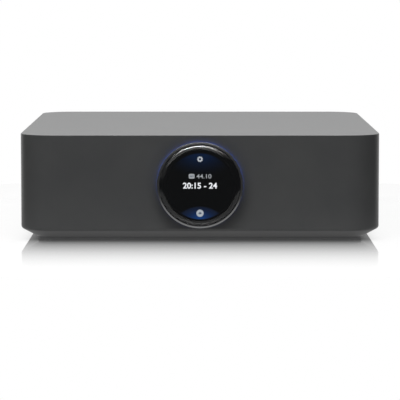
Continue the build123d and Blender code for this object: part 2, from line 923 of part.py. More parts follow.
def make_dial_bracket():
    """Plate inside the front wall that carries the spindle and the display board."""
    near = dial_boss_reach
    far = near + bracket_thickness
    width = 2 * (dial_boss_x + bracket_margin)
    height = 2 * (dial_boss_z + bracket_margin)
    outline = Pos(0, dial_height) * RectangleRounded(width, height, bracket_margin)
    low = dial_height - height / 2 - cut_over
    notch_top = flex_plug_mid() + flex_plug_height / 2 + plug_room
    notch = Pos(0, (low + notch_top) / 2) * Rectangle(flex_width + 2 * flex_notch_room, notch_top - low)
    high = dial_height + height / 2 + cut_over
    gap_low = display_plug_base() - plug_room
    gap = Pos(0, (high + gap_low) / 2) * Rectangle(display_plug_width + 2 * plug_room, high - gap_low)
    bracket = through(outline - Pos(0, dial_height) * Circle(bracket_bore) - notch - gap, near, far)
    for x, z in dial_boss_places():
        bracket = bracket - countersink_along(x, z, far, screw_radius, screw_head_radius)
    for x, z in spindle_screw_places():
        bracket = bracket - countersink_along(x, z, far, spindle_screw_radius, spindle_head_radius)
    return bracket


def countersink_along(x, z, face, radius, head):
    """Countersunk clearance hole along Y whose mouth faces the back."""
    gap = screw_head_clearance
    cone = cone_y(x, z, radius + gap, head + gap, face - (head - radius), face)
    return cone + disc(x, z, radius + gap, face - countersink_reach, face)


def make_dial_screws():
    face = dial_boss_reach + bracket_thickness
    screws = [screw_along(x, z, face, dial_screw_length, -1) for x, z in dial_boss_places()]
    for x, z in spindle_screw_places():
        screws.append(screw_along(x, z, face, spindle_screw_length, -1, spindle_screw_radius,
                                  spindle_head_radius))
    return group(screws)


def make_display_flex():
    """Flat lead from the panel's back, through the spindle, round to the display board."""
    start = y_front - glass_back + panel_thickness
    turn = y_front + dial_boss_reach + flex_plug_depth + 2 * flex_bend
    end = y_front + dial_boss_reach + flex_plug_depth
    low = flex_plug_mid()
    points = [Vector(0, start, dial_height), Vector(0, turn, dial_height), Vector(0, turn, low),
              Vector(0, end, low)]
    path = FilletPolyline(*points, radius=flex_bend)
    section = Plane(origin=path @ 0, x_dir=(1, 0, 0), z_dir=path % 0)
    return sweep(section * Rectangle(flex_width, flex_thickness), path=path)


# Boards and what stands on them


def make_standoffs():
    pieces = []
    for x, depth, top in standoff_places():
        post = pillar(x, depth, standoff_radius, plate_top, top)
        post = post + pillar(x, depth, standoff_spigot - thread_gap, plate_top - standoff_spigot_depth,
                             plate_top)
        pieces.append(post - pillar(x, depth, thread_radius, top - thread_depth, top + cut_over))
    return group(pieces)


def make_board_screws():
    """Pan-head screws through the boards into the standoffs."""
    pieces = []
    for x, depth, bottom in standoff_places():
        top = bottom + board_thickness
        head = pillar(x, depth, screw_head_radius, top, top + pan_head)
        shank = pillar(x, depth, screw_radius, top - board_screw_length, top)
        drive = extrude(RegularPolygon(drive_radius, 6), drive_depth)
        pieces.append(head + shank - Pos(x, y_front + depth, top + pan_head - drive_depth) * drive)
    return group(pieces)


def bare_board(edges):
    """Board with rounded corners and its fixing holes."""
    left, right, near, far, bottom, overhang = edges
    plan = Pos((left + right) / 2, y_front + (near + far) / 2)
    plan = plan * RectangleRounded(right - left, far - near, board_corner)
    board = upright(plan, bottom, bottom + board_thickness)
    for x, depth in corner_places(left, right, near, far, overhang):
        board = board - pillar(x, depth, screw_clearance_radius, bottom - cut_over,
                               bottom + board_thickness + cut_over)
    return board


def main_part(part):
    """Part of the main board: from its right edge, from its near edge, and its sizes."""
    from_right, from_near, wide, long, tall = part
    return centred(main_right - from_right, main_near + from_near, main_top, wide, long, tall)


def amp_part(part):
    from_right, from_near, wide, long, tall = part
    return centred(amp_right - from_right, amp_near + from_near, amp_top, wide, long, tall)


def power_part(part):
    from_left, from_far, wide, long, tall = part
    return centred(power_left + from_left, power_far - from_far, power_top, wide, long, tall)


def make_main_board():
    pieces = [bare_board(boards()[0])]
    pieces.extend([main_part(chip) for chip in main_chips])
    pieces.extend([main_part(display_plug), main_part(main_ribbon_plug), make_reset_switch()])
    return group(pieces)


def make_processor_shield():
    """Thin lidded can over the processor and memory."""
    from_right, from_near, wide, long, tall = shield
    outside = main_part(shield)
    inner_wide = wide - 2 * shield_sheet
    inner_long = long - 2 * shield_sheet
    inside = centred(main_right - from_right, main_near + from_near, main_top - cut_over,
                     inner_wide, inner_long, tall + cut_over - shield_sheet)
    return outside - inside


def make_radio_module():
    """Radio board with its lid and the two small plugs for the antenna leads."""
    from_right, from_near, wide, long, tall = radio
    board = main_part(radio)
    lid_depth = main_near + from_near + (radio_plug_room - radio_lid_margin) / 2
    lid = centred(main_right - from_right, lid_depth, main_top + tall, wide - 2 * radio_lid_margin,
                  long - radio_plug_room - radio_lid_margin, radio_lid)
    pieces = [board + lid]
    for x, depth in radio_plug_places():
        low = main_top + tall
        pieces.append(pillar(x, depth, radio_plug_radius, low, low + radio_plug_height))
    return group(pieces)


def radio_plug_places():
    from_right, from_near, _, long, _ = radio
    depth = main_near + from_near - long / 2 + radio_plug_room / 2
    x = main_right - from_right
    return [(x - radio_plug_out, depth), (x + radio_plug_out, depth)]


def make_amplifier_board():
    pieces = [bare_board(boards()[1])]
    pieces.extend([amp_part(part) for part in (speaker_plug, amp_ribbon_plug)])
    pieces.append(centred(amp_left + supply_plug_from_left, amp_near + supply_plug_from_near, amp_top,
                          supply_plug_width, supply_plug_length, supply_plug_height))
    pieces.extend([amp_part(chip) for chip in amp_small_chips])
    return group(pieces)


def make_amplifier_chips():
    x, depth = sink_middle()
    pieces = []
    for side in (-1, 1):
        chip_x = x + side * chip_spacing / 2
        pieces.append(centred(chip_x, depth, amp_top, chip_width, chip_length, chip_height))
    return group(pieces)


def sink_middle():
    return amp_left + amp_width / 2, amp_near + sink_from_near


def make_heat_sink():
    """Finned block on the amplifier chips, standing on two legs at its ends."""
    x_mid, d_mid = sink_middle()
    z0 = amp_top + chip_height
    base = centred(x_mid, d_mid, z0, sink_width, sink_length, sink_base)
    pitch = (sink_width - sink_fin) / (sink_fins - 1)
    pieces = [base]
    for i in range(sink_fins):
        x = x_mid - sink_width / 2 + sink_fin / 2 + i * pitch
        pieces.append(centred(x, d_mid, z0 + sink_base, sink_fin, sink_length, sink_height - sink_base))
    for side in (-1, 1):
        x = x_mid + side * (sink_width - sink_leg) / 2
        pieces.append(centred(x, d_mid, amp_top, sink_leg, sink_leg, chip_height))
    return joined(pieces)


def make_output_inductors():
    """Four shielded square coils with a round top."""
    pieces = []
    for i in range(4):
        x = amp_left + coil_from_left + i * coil_pitch
        depth = amp_near + coil_from_near
        body = centred(x, depth, amp_top, coil_size, coil_size, coil_height)
        body = fillet(body.edges().filter_by(Axis.Z), coil_corner)
        lid = pillar(x, depth, coil_size / 2 - coil_lid_margin, amp_top + coil_height,
                     amp_top + coil_height + coil_lid_height)
        pieces.append(body + lid)
    return group(pieces)


def can(x, depth, z0, radius, tall):
    """Electrolytic capacitor can with its crimp groove."""
    groove_low = z0 + can_groove
    groove = pillar(x, depth, radius + cut_over, groove_low, groove_low + can_groove / 2,
                    radius - can_groove / 3)
    return pillar(x, depth, radius, z0, z0 + tall) - groove


def make_supply_capacitors():
    pieces = []
    for i in range(4):
        x = amp_left + supply_can_from_left + i * supply_can_pitch
        pieces.append(can(x, amp_near + supply_can_from_near, amp_top, supply_can_radius, supply_can_height))
    return group(pieces)


def make_power_board():
    pieces = [bare_board(boards()[2])]
    parts = [mains_plug, power_plug, power_fin, filter_box, fuse_holder]
    return group(pieces + [power_part(part) for part in parts])


def make_power_transformer():
    """Ferrite core round a wound bobbin."""
    x = power_left + transformer_from_left
    depth = power_far - transformer_from_far
    z = power_top
    leg = core_leg
    core = centred(x, depth, z + bobbin_foot, core_width, core_depth, core_height)
    hollow = centred(x, depth, z + bobbin_foot + leg, core_width - 2 * leg,
                     core_depth + cut_over, core_height - 2 * leg)
    bobbin = centred(x, depth, z, core_width - 2 * bobbin_inset, coil_depth + 2 * bobbin_overhang,
                     bobbin_foot)
    coil = centred(x, depth, z + bobbin_foot + leg, core_width - 2 * (leg + winding_gap), coil_depth,
                   core_height - 2 * leg)
    coil = fillet(coil.edges().filter_by(Axis.Z), coil_corner)
    return group([core - hollow, bobbin, coil])


def make_bulk_capacitors():
    pieces = []
    for from_left, from_far, radius, tall in bulk_cans:
        pieces.append(can(power_left + from_left, power_far - from_far, power_top, radius, tall))
    return group(pieces)


def make_filter_choke():
    """Mains filter choke: ring core standing on a base."""
    x = power_left + choke_from_left
    depth = power_far - choke_from_far
    outer = choke_ring_radius + choke_wire_radius
    base = centred(x, depth, power_top, 2 * (outer + choke_base_margin),
                   2 * (choke_wire_radius + choke_base_side), choke_base)
    core = Torus(choke_ring_radius, choke_wire_radius)
    core = Pos(x, y_front + depth, power_top + choke_base + outer - choke_seat) * Rot(90, 0, 0) * core
    return group([base - core, core])


def make_insulation_sheet():
    """Insulating sheet on the base plate under the power board."""
    sheet = block(power_left + sheet_left_in, power_right + sheet_right_out, power_near - sheet_end_out,
                  power_far + sheet_end_out, plate_top, plate_top + sheet_thickness)
    for x, depth, top in standoff_places():
        sheet = sheet - pillar(x, depth, standoff_radius + seat_gap, plate_top - cut_over, top)
    return sheet


def make_signal_ribbon():
    """Flat ribbon from the amplifier board up and over to the main board."""
    from_right, from_near, wide, _, tall = amp_ribbon_plug
    x = amp_right - from_right
    start = Vector(x, y_front + amp_near + from_near, amp_top + tall)
    end = Vector(x, y_front + main_near + main_ribbon_plug[1], main_top + main_ribbon_plug[4])
    loop_z = end.Z + ribbon_rise
    points = [start, Vector(x, start.Y, loop_z), Vector(x, end.Y, loop_z), end]
    path = FilletPolyline(*points, radius=ribbon_bend)
    section = Plane(origin=path @ 0, x_dir=(1, 0, 0), z_dir=path % 0)
    return sweep(section * Rectangle(wide - 2 * ribbon_edge, ribbon_thickness), path=path)


# Rear sockets


def jack_heights():
    low = main_top + (jack_block_height - jack_pitch) / 2
    return (low, low + jack_pitch)


def make_jacks(x):
    """Pair of phono jacks in one block, each with its barrel, coloured collar and core."""
    far = panel_inside - jack_set_back
    pocket = far - jack_block_depth + jack_back
    half = jack_block_width / 2
    body = block(x - half, x + half, far - jack_block_depth, far, main_top, main_top + jack_block_height)
    pieces = []
    end = body_depth + jack_reach
    collar_end = panel_outside + jack_collar_proud
    for z in jack_heights():
        body = body - disc(x, z, jack_core_radius, pocket, far + cut_over)
        neck = disc(x, z, jack_neck_radius, far, collar_end + jack_relief, jack_core_radius)
        pieces.append(neck + disc(x, z, jack_radius, collar_end + jack_relief, end, jack_core_radius))
        pieces.append(disc(x, z, jack_collar_radius, far, collar_end, jack_neck_radius + jack_collar_gap))
        core = disc(x, z, jack_core_radius, pocket, end - jack_core_set_back)
        pieces.append(core - disc(x, z, jack_bore, end - jack_bore_depth, end))
    return group([body] + pieces)


def port_floor():
    """Underside of the Ethernet port's plug space."""
    return main_top + port_rise + latch_height


def make_ethernet_socket():
    far = panel_outside + socket_proud
    x = ethernet_x
    half = ethernet_width / 2
    body = block(x - half, x + half, far - ethernet_depth, far, main_top, main_top + ethernet_height)
    low = port_floor()
    top = low + port_height
    half = port_width / 2
    body = body - block(x - half, x + half, far - port_depth, far + cut_over, low, top)
    half = latch_width / 2
    body = body - block(x - half, x + half, far - port_depth + port_contact, far + cut_over,
                        low - latch_height, low + cut_over)
    pieces = []
    half = port_contact_width / 2
    for i in range(port_contacts):
        pin_x = x + (i - (port_contacts - 1) / 2) * port_contact_pitch
        pieces.append(block(pin_x - half, pin_x + half, far - port_depth, far - port_contact,
                            top - port_contact_height, top))
    return group([body] + pieces)


def optical_mid():
    return main_top + optical_height / 2


def shutter_axis():
    """Depth and height of the optical flap's hinge."""
    depth = panel_outside + socket_proud - shutter_inset
    return depth, optical_mid() + optical_port / 2 - shutter_drop


def make_optical_socket():
    far = panel_outside + socket_proud
    back = far - optical_port_depth
    x = optical_x
    mid = optical_mid()
    half = optical_port / 2
    body = block(x - optical_width / 2, x + optical_width / 2, far - optical_depth, far,
                 main_top, main_top + optical_height)
    body = body - block(x - half, x + half, back, far + cut_over, mid - half, mid + half)
    depth, z = shutter_axis()
    pin_hole = Cylinder(shutter_pin_radius + running_gap, optical_port + 2 * (shutter_pin_length + seat_gap))
    body = body - Pos(x, y_front + depth, z) * Rot(0, 90, 0) * pin_hole
    body = body - disc(x, mid, optical_lens_radius, back - optical_lens_back, back + cut_over)
    lens = disc(x, mid, optical_lens_radius, back - optical_lens_back, back + optical_lens_proud)
    return group([body, lens])


def make_optical_shutter():
    """Flap hung from pins at the top of the optical port."""
    x = optical_x
    depth, z = shutter_axis()
    half = optical_port / 2 - shutter_gap
    thick = shutter_thickness / 2
    flap = block(x - half, x + half, depth - thick, depth + thick, optical_mid() - half, z)
    barrel = Cylinder(shutter_pin_radius, optical_port + 2 * shutter_pin_length)
    return flap + Pos(x, y_front + depth, z) * Rot(0, 90, 0) * barrel


def metal_port(x, width, height, reach, tongue_width, tongue_z):
    """Sheet shell open at the back, with a plastic tongue inside."""
    far = panel_outside + socket_proud
    near = far - reach
    z0 = main_top
    half = width / 2
    shell = block(x - half, x + half, near, far, z0, z0 + height)
    half = half - shell_sheet
    hollow = block(x - half, x + half, near + shell_back, far + cut_over, z0 + shell_sheet,
                   z0 + height - shell_sheet)
    half = tongue_width / 2
    tongue = block(x - half, x + half, near + shell_back, far - tongue_set_back,
                   z0 + tongue_z, z0 + tongue_z + tongue_thickness)
    return group([shell - hollow, tongue])


def make_hdmi_socket():
    return metal_port(hdmi_x, hdmi_width, hdmi_height, hdmi_depth, hdmi_tongue_width, hdmi_tongue_z)


def make_usb_socket():
    return metal_port(usb_x, usb_width, usb_height, usb_depth, usb_tongue_width, usb_tongue_z)


def reset_height():
    return main_top + button_height


def make_reset_switch():
    """Small switch on the main board that the button pushes."""
    far = main_far - switch_back_room
    near = far - switch_depth
    half = switch_width / 2
    body = block(reset_x - half, reset_x + half, near, far, main_top, main_top + switch_height)
    return body - disc(reset_x, reset_height(), button_tip_radius + running_gap,
                       near + switch_floor, far + cut_over)


def make_reset_button():
    """Plunger from the switch out through the rear panel, with a collar behind it."""
    z = reset_height()
    switch_far = main_far - switch_back_room
    shoulder = switch_far + button_travel + seat_gap
    tip_start = switch_far - switch_depth + switch_floor + button_travel + seat_gap
    collar_far = panel_inside - seat_gap
    tip = disc(reset_x, z, button_tip_radius, tip_start, shoulder)
    stem = disc(reset_x, z, button_radius, shoulder, panel_outside + button_proud)
    collar = disc(reset_x, z, button_collar_radius, collar_far - button_collar, collar_far)
    return tip + stem + collar


def make_rear_panel():
    """Plate that closes the back, cut for every socket."""
    outline = Pos(0, panel_centre_z) * RectangleRounded(panel_width, panel_height, panel_corner - panel_gap)
    gap = cutout_gap
    holes = [Pos(inlet_x, panel_centre_z) * Rectangle(inlet_width + 2 * gap, inlet_height + 2 * gap)]
    for x in terminal_x:
        for z in terminal_z:
            holes.append(Pos(x, z) * Circle(terminal_collar_radius + gap))
    for x in (line_x, output_x):
        for z in jack_heights():
            holes.append(Pos(x, z) * Circle(jack_collar_radius + gap))
    sockets = [(optical_x, optical_width, optical_height), (hdmi_x, hdmi_width, hdmi_height),
               (usb_x, usb_width, usb_height), (ethernet_x, ethernet_width, ethernet_height)]
    for x, width, height in sockets:
        holes.append(Pos(x, main_top + height / 2) * Rectangle(width + 2 * gap, height + 2 * gap))
    holes.append(Pos(reset_x, reset_height()) * Circle(button_radius + gap))
    left = optical_x - optical_width / 2
    count = int((window_width / 2 - socket_edge_gap - left) / rear_vent_pitch) + 1
    for i in range(count):
        slot = SlotCenterToCenter(rear_vent_length, rear_vent_width, rotation=90)
        holes.append(Pos(left + i * rear_vent_pitch, rear_vent_z) * slot)
    panel = through(outline - joined(holes), panel_inside, panel_outside)
    for x, z in rear_screw_places():
        panel = panel - countersink_along(x, z, panel_outside, screw_radius, screw_head_radius)
    return panel


def inlet_section(width, height, corner):
    """Rectangle with its two lower corners cut off, as on a three-pin inlet."""
    w, h = width / 2, height / 2
    points = [(-w, h), (w, h), (w, -h + corner), (w - corner, -h), (-w + corner, -h), (-w, -h + corner)]
    return make_face(Polyline(*points, close=True))


def contact_places():
    return [(-contact_spacing, -contact_rise), (0.0, contact_rise), (contact_spacing, -contact_rise)]


def contact_blocks(near, far):
    """The three contacts, or the slots for them, between two depths."""
    pieces = []
    for dx, dz in contact_places():
        x, z = inlet_x + dx, panel_centre_z + dz
        pieces.append(block(x - contact_width / 2, x + contact_width / 2, near, far,
                            z - contact_height / 2, z + contact_height / 2))
    return pieces


def make_mains_inlet():
    far = panel_outside + inlet_flange
    near = far - inlet_depth
    floor = far - inlet_cavity_depth
    body = Pos(inlet_x, panel_centre_z) * Rectangle(inlet_width, inlet_height)
    flange = Pos(inlet_x, panel_centre_z) * RectangleRounded(
        inlet_width + 2 * inlet_flange_margin, inlet_height + 2 * inlet_flange_margin, inlet_flange_corner)
    inlet = through(body, near, panel_outside) + through(flange, panel_outside, far)
    cavity = inlet_section(inlet_cavity_width, inlet_cavity_height, inlet_corner)
    inlet = inlet - through(Pos(inlet_x, panel_centre_z) * cavity, floor, far + cut_over)
    return inlet - joined(contact_blocks(near - cut_over, floor + cut_over))


def make_inlet_contacts():
    far = panel_outside + inlet_flange
    floor = far - inlet_cavity_depth
    return group(contact_blocks(far - inlet_depth - tab_length, floor + contact_length))


# Pieces of the speaker terminals


def terminal_places():
    """Name, X and Z of each terminal: the left pair of the panel and the right pair."""
    low, high = terminal_z
    right_x, left_x = terminal_x
    return [("right_minus", right_x, low), ("right_plus", right_x, high),
            ("left_minus", left_x, low), ("left_plus", left_x, high)]


def make_terminal_base():
    low, high = terminal_z
    near_x, far_x = terminal_x
    width = far_x - near_x + 2 * terminal_base_margin
    height = high - low + 2 * terminal_base_margin
    outline = Pos((near_x + far_x) / 2, (low + high) / 2) * RectangleRounded(
        width, height, terminal_base_corner)
    base = through(outline, panel_outside, panel_outside + terminal_base_proud)
    for _, x, z in terminal_places():
        base = base + disc(x, z, terminal_collar_radius, panel_inside - collar_reach, panel_outside)
    for _, x, z in terminal_places():
        base = base - disc(x, z, post_radius + running_gap, panel_inside - collar_reach - cut_over,
                           panel_outside + terminal_base_proud + cut_over)
    return base


def make_terminal_posts():
    """Metal posts: threaded barrel with a plug bore, cross hole, flange and solder tail."""
    pieces = []
    seat = panel_outside + terminal_base_proud
    hole_depth = seat + post_flange + end_float + wire_hole_radius
    nut_far = panel_inside - collar_reach
    nut_near = nut_far - nut_thickness
    back = nut_near - post_back
    reach = post_radius + cut_over
    for _, x, z in terminal_places():
        post = disc(x, z, post_radius, back, post_end)
        post = post + disc(x, z, post_flange_radius, seat, seat + post_flange)
        post = post - disc(x, z, banana_radius, post_end - banana_depth, post_end + cut_over)
        post = post - block(x - reach, x + reach, seat + post_flange, post_end + cut_over,
                            z - reach, z - post_flat)
        cross_hole = Cylinder(wire_hole_radius, 2 * reach)
        post = post - Pos(x, y_front + hole_depth, z) * Rot(0, 90, 0) * cross_hole
        nut = RegularPolygon(nut_radius, 6) - Circle(post_radius)
        tail = disc(x, z, tail_radius, back - tail_length, back)
        pieces.extend([post + tail, through(Pos(x, z) * nut, nut_near, nut_far)])
    return group(pieces)


def make_washer(x, z):
    """Captive washer keyed on the post's flat, with the hub that the cap turns on."""
    near = panel_outside + terminal_base_proud + post_flange + end_float
    washer = disc(x, z, washer_radius, near, near + washer_thickness)
    far = near + washer_thickness + washer_hub
    washer = washer + disc(x, z, washer_hub_radius, near + washer_thickness, far)
    bore = disc(x, z, post_radius + running_gap, near - cut_over, far + cut_over)
    reach = post_radius + cut_over
    key = block(x - reach, x + reach, near - cut_over, far + cut_over,
                z - reach, z - post_flat - washer_key_gap)
    return washer - (bore - key)


def make_cap(x, z):
    """Fluted cap that screws along the post, open at its end for a plug."""
    cap = disc(x, z, cap_radius, cap_start, cap_end)
    ends = cap.edges().filter_by(GeomType.CIRCLE)
    cap = fillet(ends, cap_edge_radius)
    for i in range(cap_flutes):
        turn = 2 * math.pi * i / cap_flutes
        cx = x + (cap_radius + cap_flute_out) * math.cos(turn)
        cz = z + (cap_radius + cap_flute_out) * math.sin(turn)
        cap = cap - disc(cx, cz, cap_flute_radius, cap_start + cap_flute_start, cap_end - cap_flute_end)
    hub_room = washer_hub + cap_hub_gap
    cap = cap - disc(x, z, washer_hub_radius + running_gap, cap_start - cut_over, cap_start + hub_room)
    cap = cap - disc(x, z, post_radius + running_gap, cap_start, cap_end - cap_mouth_wall)
    return cap - disc(x, z, cap_mouth_radius, cap_end - cap_mouth_wall - cut_over, cap_end + cut_over)


# Antennas and leads


def antenna_places():
    """X of the two aerials above the sockets, and their height."""
    return [(hdmi_x - antenna_spread, antenna_z), (hdmi_x + antenna_spread, antenna_z)]


def make_antennas():
    """Thin printed aerials stuck to the rear panel's inner face."""
    pieces = []
    half, tall = antenna_length / 2, antenna_height / 2
    for x, z in antenna_places():
        pieces.append(block(x - half, x + half, panel_inside - antenna_thickness, panel_inside,
                            z - tall, z + tall))
    return group(pieces)


def make_antenna_leads():
    leads = []
    face = panel_inside - antenna_thickness
    top = main_top + radio[4] + radio_plug_height
    for (x, z), (plug_x, depth) in zip(antenna_places(), radio_plug_places()):
        run = antenna_lead_run
        points = [(plug_x, depth, top), (plug_x, depth, top + antenna_lead_rise),
                  (plug_x, depth + run, top + antenna_lead_climb),
                  ((x + plug_x) / 2, depth + 3 * run, z - antenna_thickness),
                  (x, face - run, z), (x, face, z)]
        leads.append(wire(points, antenna_lead_radius, "antenna lead"))
    return group(leads)


def contact_tail():
    """Depth of the ends of the mains contacts."""
    return panel_outside + inlet_flange - inlet_depth - tab_length


def make_mains_wires():
    """Line and neutral, from the inlet's tabs to the power board."""
    leads = []
    tab = contact_tail()
    from_left, from_far, _, _, tall = mains_plug
    plug_x, plug_depth, plug_top = power_left + from_left, power_far - from_far, power_top + tall
    for side in (-1, 1):
        x = inlet_x + side * contact_spacing
        z = panel_centre_z - contact_rise
        end_x = plug_x + side * mains_wire_pitch / 2
        points = [(x, tab, z), (x, tab - mains_wire_exit, z), (end_x, plug_depth, plug_top + mains_wire_rise),
                  (end_x, plug_depth, plug_top)]
        leads.append(wire(points, mains_wire_radius, "mains wire"))
    return group(leads)


def make_earth_wire():
    """Protective earth, from the inlet to a stud on the base plate."""
    tab = contact_tail()
    z = panel_centre_z + contact_rise
    x_lug = power_right + earth_from_power
    lug_depth = power_far - earth_from_far
    points = [(inlet_x, tab, z), (inlet_x, tab - earth_exit, z), (inlet_x + earth_side, tab - earth_back, z),
              (x_lug, lug_depth + earth_run, z - earth_drop),
              (x_lug, lug_depth + earth_foot, plate_top + earth_rise),
              (x_lug, lug_depth + lug_radius, plate_top + lug_thickness + mains_wire_radius / 2)]
    lead = wire(points, mains_wire_radius, "earth wire")
    lug = pillar(x_lug, lug_depth, lug_radius, plate_top, plate_top + lug_thickness, lug_bore)
    nut_low = plate_top + lug_thickness
    nut = Pos(x_lug, y_front + lug_depth) * RegularPolygon(lug_nut_radius, 6)
    nut = upright(nut, nut_low, nut_low + nut_thickness)
    return group([lead, lug, nut])


def make_supply_harness():
    """Leads from the power board to the amplifier board."""
    pieces = []
    from_left, from_far, wide, _, tall = power_plug
    start_top = power_top + tall
    end_top = amp_top + supply_plug_height
    middle = (harness_leads - 1) / 2
    for i in range(harness_leads):
        x0 = power_left + from_left + (i - middle) * harness_pitch
        d0 = power_far - from_far
        x1 = amp_left + supply_plug_from_left
        d1 = amp_near + supply_plug_from_near + (middle - i) * harness_pitch
        z = start_top + harness_rise
        points = [(x0, d0, start_top), (x0, d0, z), (x1, d1, z + harness_slope), (x1, d1, end_top)]
        pieces.append(wire(points, harness_radius, "supply lead"))
    return group(pieces)


def make_speaker_wires():
    """Four leads from the amplifier board to the posts."""
    pieces = []
    tail = panel_inside - collar_reach - nut_thickness - post_back - tail_length
    top = amp_top + speaker_plug[4]
    d0 = amp_near + speaker_plug[1]
    middle = (len(terminal_places()) - 1) / 2
    for i, (_, x, z) in enumerate(terminal_places()):
        x0 = amp_right - speaker_plug[0] + (i - middle) * harness_pitch
        lane = speaker_lane + (i - middle) * harness_pitch
        points = [(x0, d0, top), (x0, d0, top + speaker_rise),
                  (x0 - speaker_run, d0 + speaker_run, top + speaker_climb + speaker_step * i),
                  (x, (d0 + tail) / 2, lane), (x, tail - speaker_tail_run, z), (x, tail, z)]
        pieces.append(wire(points, harness_radius, "speaker wire"))
    return group(pieces)


def make_display_cable():
    """Round screened lead from the display board, over the amplifier, to the main board."""
    z0 = display_plug_base() + display_plug_height / 2
    start = dial_boss_reach + display_plug_depth
    end_x = main_right - display_plug[0]
    end_depth = main_near + display_plug[1]
    end_top = main_top + display_plug[4]
    middle = (start + end_depth) / 2
    points = [(0.0, start, z0), (0.0, start + cable_exit, z0), (end_x / 2, middle, cable_lane),
              (end_x, end_depth - cable_exit, cable_lane), (end_x, end_depth, end_top + cable_rise),
              (end_x, end_depth, end_top)]
    return wire(points, display_cable_radius, "display cable")


def main():
    os.makedirs("parts", exist_ok=True)
    save("housing", make_housing())
    save("base_plate", make_base_plate())
    save("rubber_feet", make_feet())
    save("base_screws", make_base_screws())
    save("rear_panel", make_rear_panel())
    save("rear_screws", make_rear_screws())
    save("light_ring", make_light_ring())
    save("volume_ring", make_volume_ring())
    save("encoder_magnet_ring", make_magnet_ring())
    save("ring_retainer", make_retainer())
    save("display_carrier", make_display_carrier())
    save("display_panel", make_display_panel())
    save("display_glass", make_display_glass())
    save("display_board", make_display_board())
    save("dial_bracket", make_dial_bracket())
    save("dial_screws", make_dial_screws())
    save("display_flex", make_display_flex())
    save("standoffs", make_standoffs())
    save("board_screws", make_board_screws())
    save("main_board", make_main_board())
    save("processor_shield", make_processor_shield())
    save("radio_module", make_radio_module())
    save("antennas", make_antennas())
    save("antenna_leads", make_antenna_leads())
    save("amplifier_board", make_amplifier_board())
    save("amplifier_chips", make_amplifier_chips())
    save("heat_sink", make_heat_sink())
    save("output_inductors", make_output_inductors())
    save("supply_capacitors", make_supply_capacitors())
    save("power_board", make_power_board())
    save("power_transformer", make_power_transformer())
    save("bulk_capacitors", make_bulk_capacitors())
    save("filter_choke", make_filter_choke())
    save("insulation_sheet", make_insulation_sheet())
    save("signal_ribbon", make_signal_ribbon())
    save("line_jacks", make_jacks(line_x))
    save("output_jacks", make_jacks(output_x))
    save("optical_socket", make_optical_socket())
    save("optical_shutter", make_optical_shutter())
    save("hdmi_socket", make_hdmi_socket())
    save("usb_socket", make_usb_socket())
    save("ethernet_socket", make_ethernet_socket())
    save("reset_button", make_reset_button())
    save("mains_inlet", make_mains_inlet())
    save("inlet_contacts", make_inlet_contacts())
    save("terminal_base", make_terminal_base())
    save("terminal_posts", make_terminal_posts())
    for name, x, z in terminal_places():
        save(f"terminal_washer_{name}", make_washer(x, z))
        save(f"terminal_cap_{name}", make_cap(x, z))
    save("mains_wires", make_mains_wires())
    save("earth_wire", make_earth_wire())
    save("supply_harness", make_supply_harness())
    save("speaker_wires", make_speaker_wires())
    save("display_cable", make_display_cable())
    print("front face y", round(y_front, 3), "total depth", round(glass_front + cap_end, 3))


main()
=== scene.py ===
import math

import bpy
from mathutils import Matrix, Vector


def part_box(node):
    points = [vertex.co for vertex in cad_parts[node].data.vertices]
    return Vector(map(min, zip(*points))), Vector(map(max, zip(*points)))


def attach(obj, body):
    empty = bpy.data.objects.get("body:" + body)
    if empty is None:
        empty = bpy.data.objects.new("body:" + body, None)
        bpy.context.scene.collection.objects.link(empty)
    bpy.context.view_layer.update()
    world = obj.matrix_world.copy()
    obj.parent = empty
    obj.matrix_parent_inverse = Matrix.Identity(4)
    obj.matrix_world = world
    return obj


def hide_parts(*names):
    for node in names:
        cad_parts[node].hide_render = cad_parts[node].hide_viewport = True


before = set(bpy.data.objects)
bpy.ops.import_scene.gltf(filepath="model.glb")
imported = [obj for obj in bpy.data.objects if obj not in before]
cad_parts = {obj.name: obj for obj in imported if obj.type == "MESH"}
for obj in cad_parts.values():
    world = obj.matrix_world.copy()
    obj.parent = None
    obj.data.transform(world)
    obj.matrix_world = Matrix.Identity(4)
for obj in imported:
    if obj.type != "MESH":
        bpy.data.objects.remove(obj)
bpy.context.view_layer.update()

# Metres, the same frame as the CAD: +Z up, the front faces -Y.

# Camera
camera_place = (0.0, -1.6873, 0.17892)
camera_pitch = 5.5602
lens_mm = 211.4
sensor_mm = 36.0

# Places read from the frame
glass_low, glass_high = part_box("display_glass")
shell_low, shell_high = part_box("housing")
dial_z = (glass_low.z + glass_high.z) / 2
ring_radius = (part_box("volume_ring")[1].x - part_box("volume_ring")[0].x) / 2
panel_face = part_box("display_panel")[0].y
rear_face = shell_high.y
front_face = shell_low.y
face_margin = 0.0001

# Floor: a white table, polished round the object, that ends where the plain background takes over
floor_size = 6.0
floor_drop = 0.00002
mirror_reach = 0.190
mirror_power = 2.3
mirror_most = 0.95
bounce_reach = 0.095
bounce_mirror = 0.10
floor_glow = 0.735
floor_white = 0.20
bounce_glow = 0.53
plate_corner = 0.0109
contact_shade = 0.60
contact_reach = 0.005

# Cover glass: its edge, as in the part's source
lead_width = 0.0006
lead_turn = math.radians(21.0)
slope_width = 0.0026
slope_turn = math.radians(43.0)
lead_steps = 8
slope_steps = 20
turned_corners = 256

# Volume ring: its section, as in the part's source, and the shallow cone of its front
ring_wall = 0.0014
ring_web = 0.0012
ring_back_gap = 0.0008
ring_bore = 0.0208
ring_sleeve = 0.0222
ring_land = 0.0004
ring_cone = math.radians(14.0)
ring_edge = 0.00008
ring_edge_steps = 6

# Shell: height of the band at its lower edge whose colour is painted lighter (painted light for the lower
# chamfer), and how deep and how far the shade painted round the ring reaches on the front
painted_light_height = 0.0022
ring_shade = 0.22
ring_shade_reach = 0.008

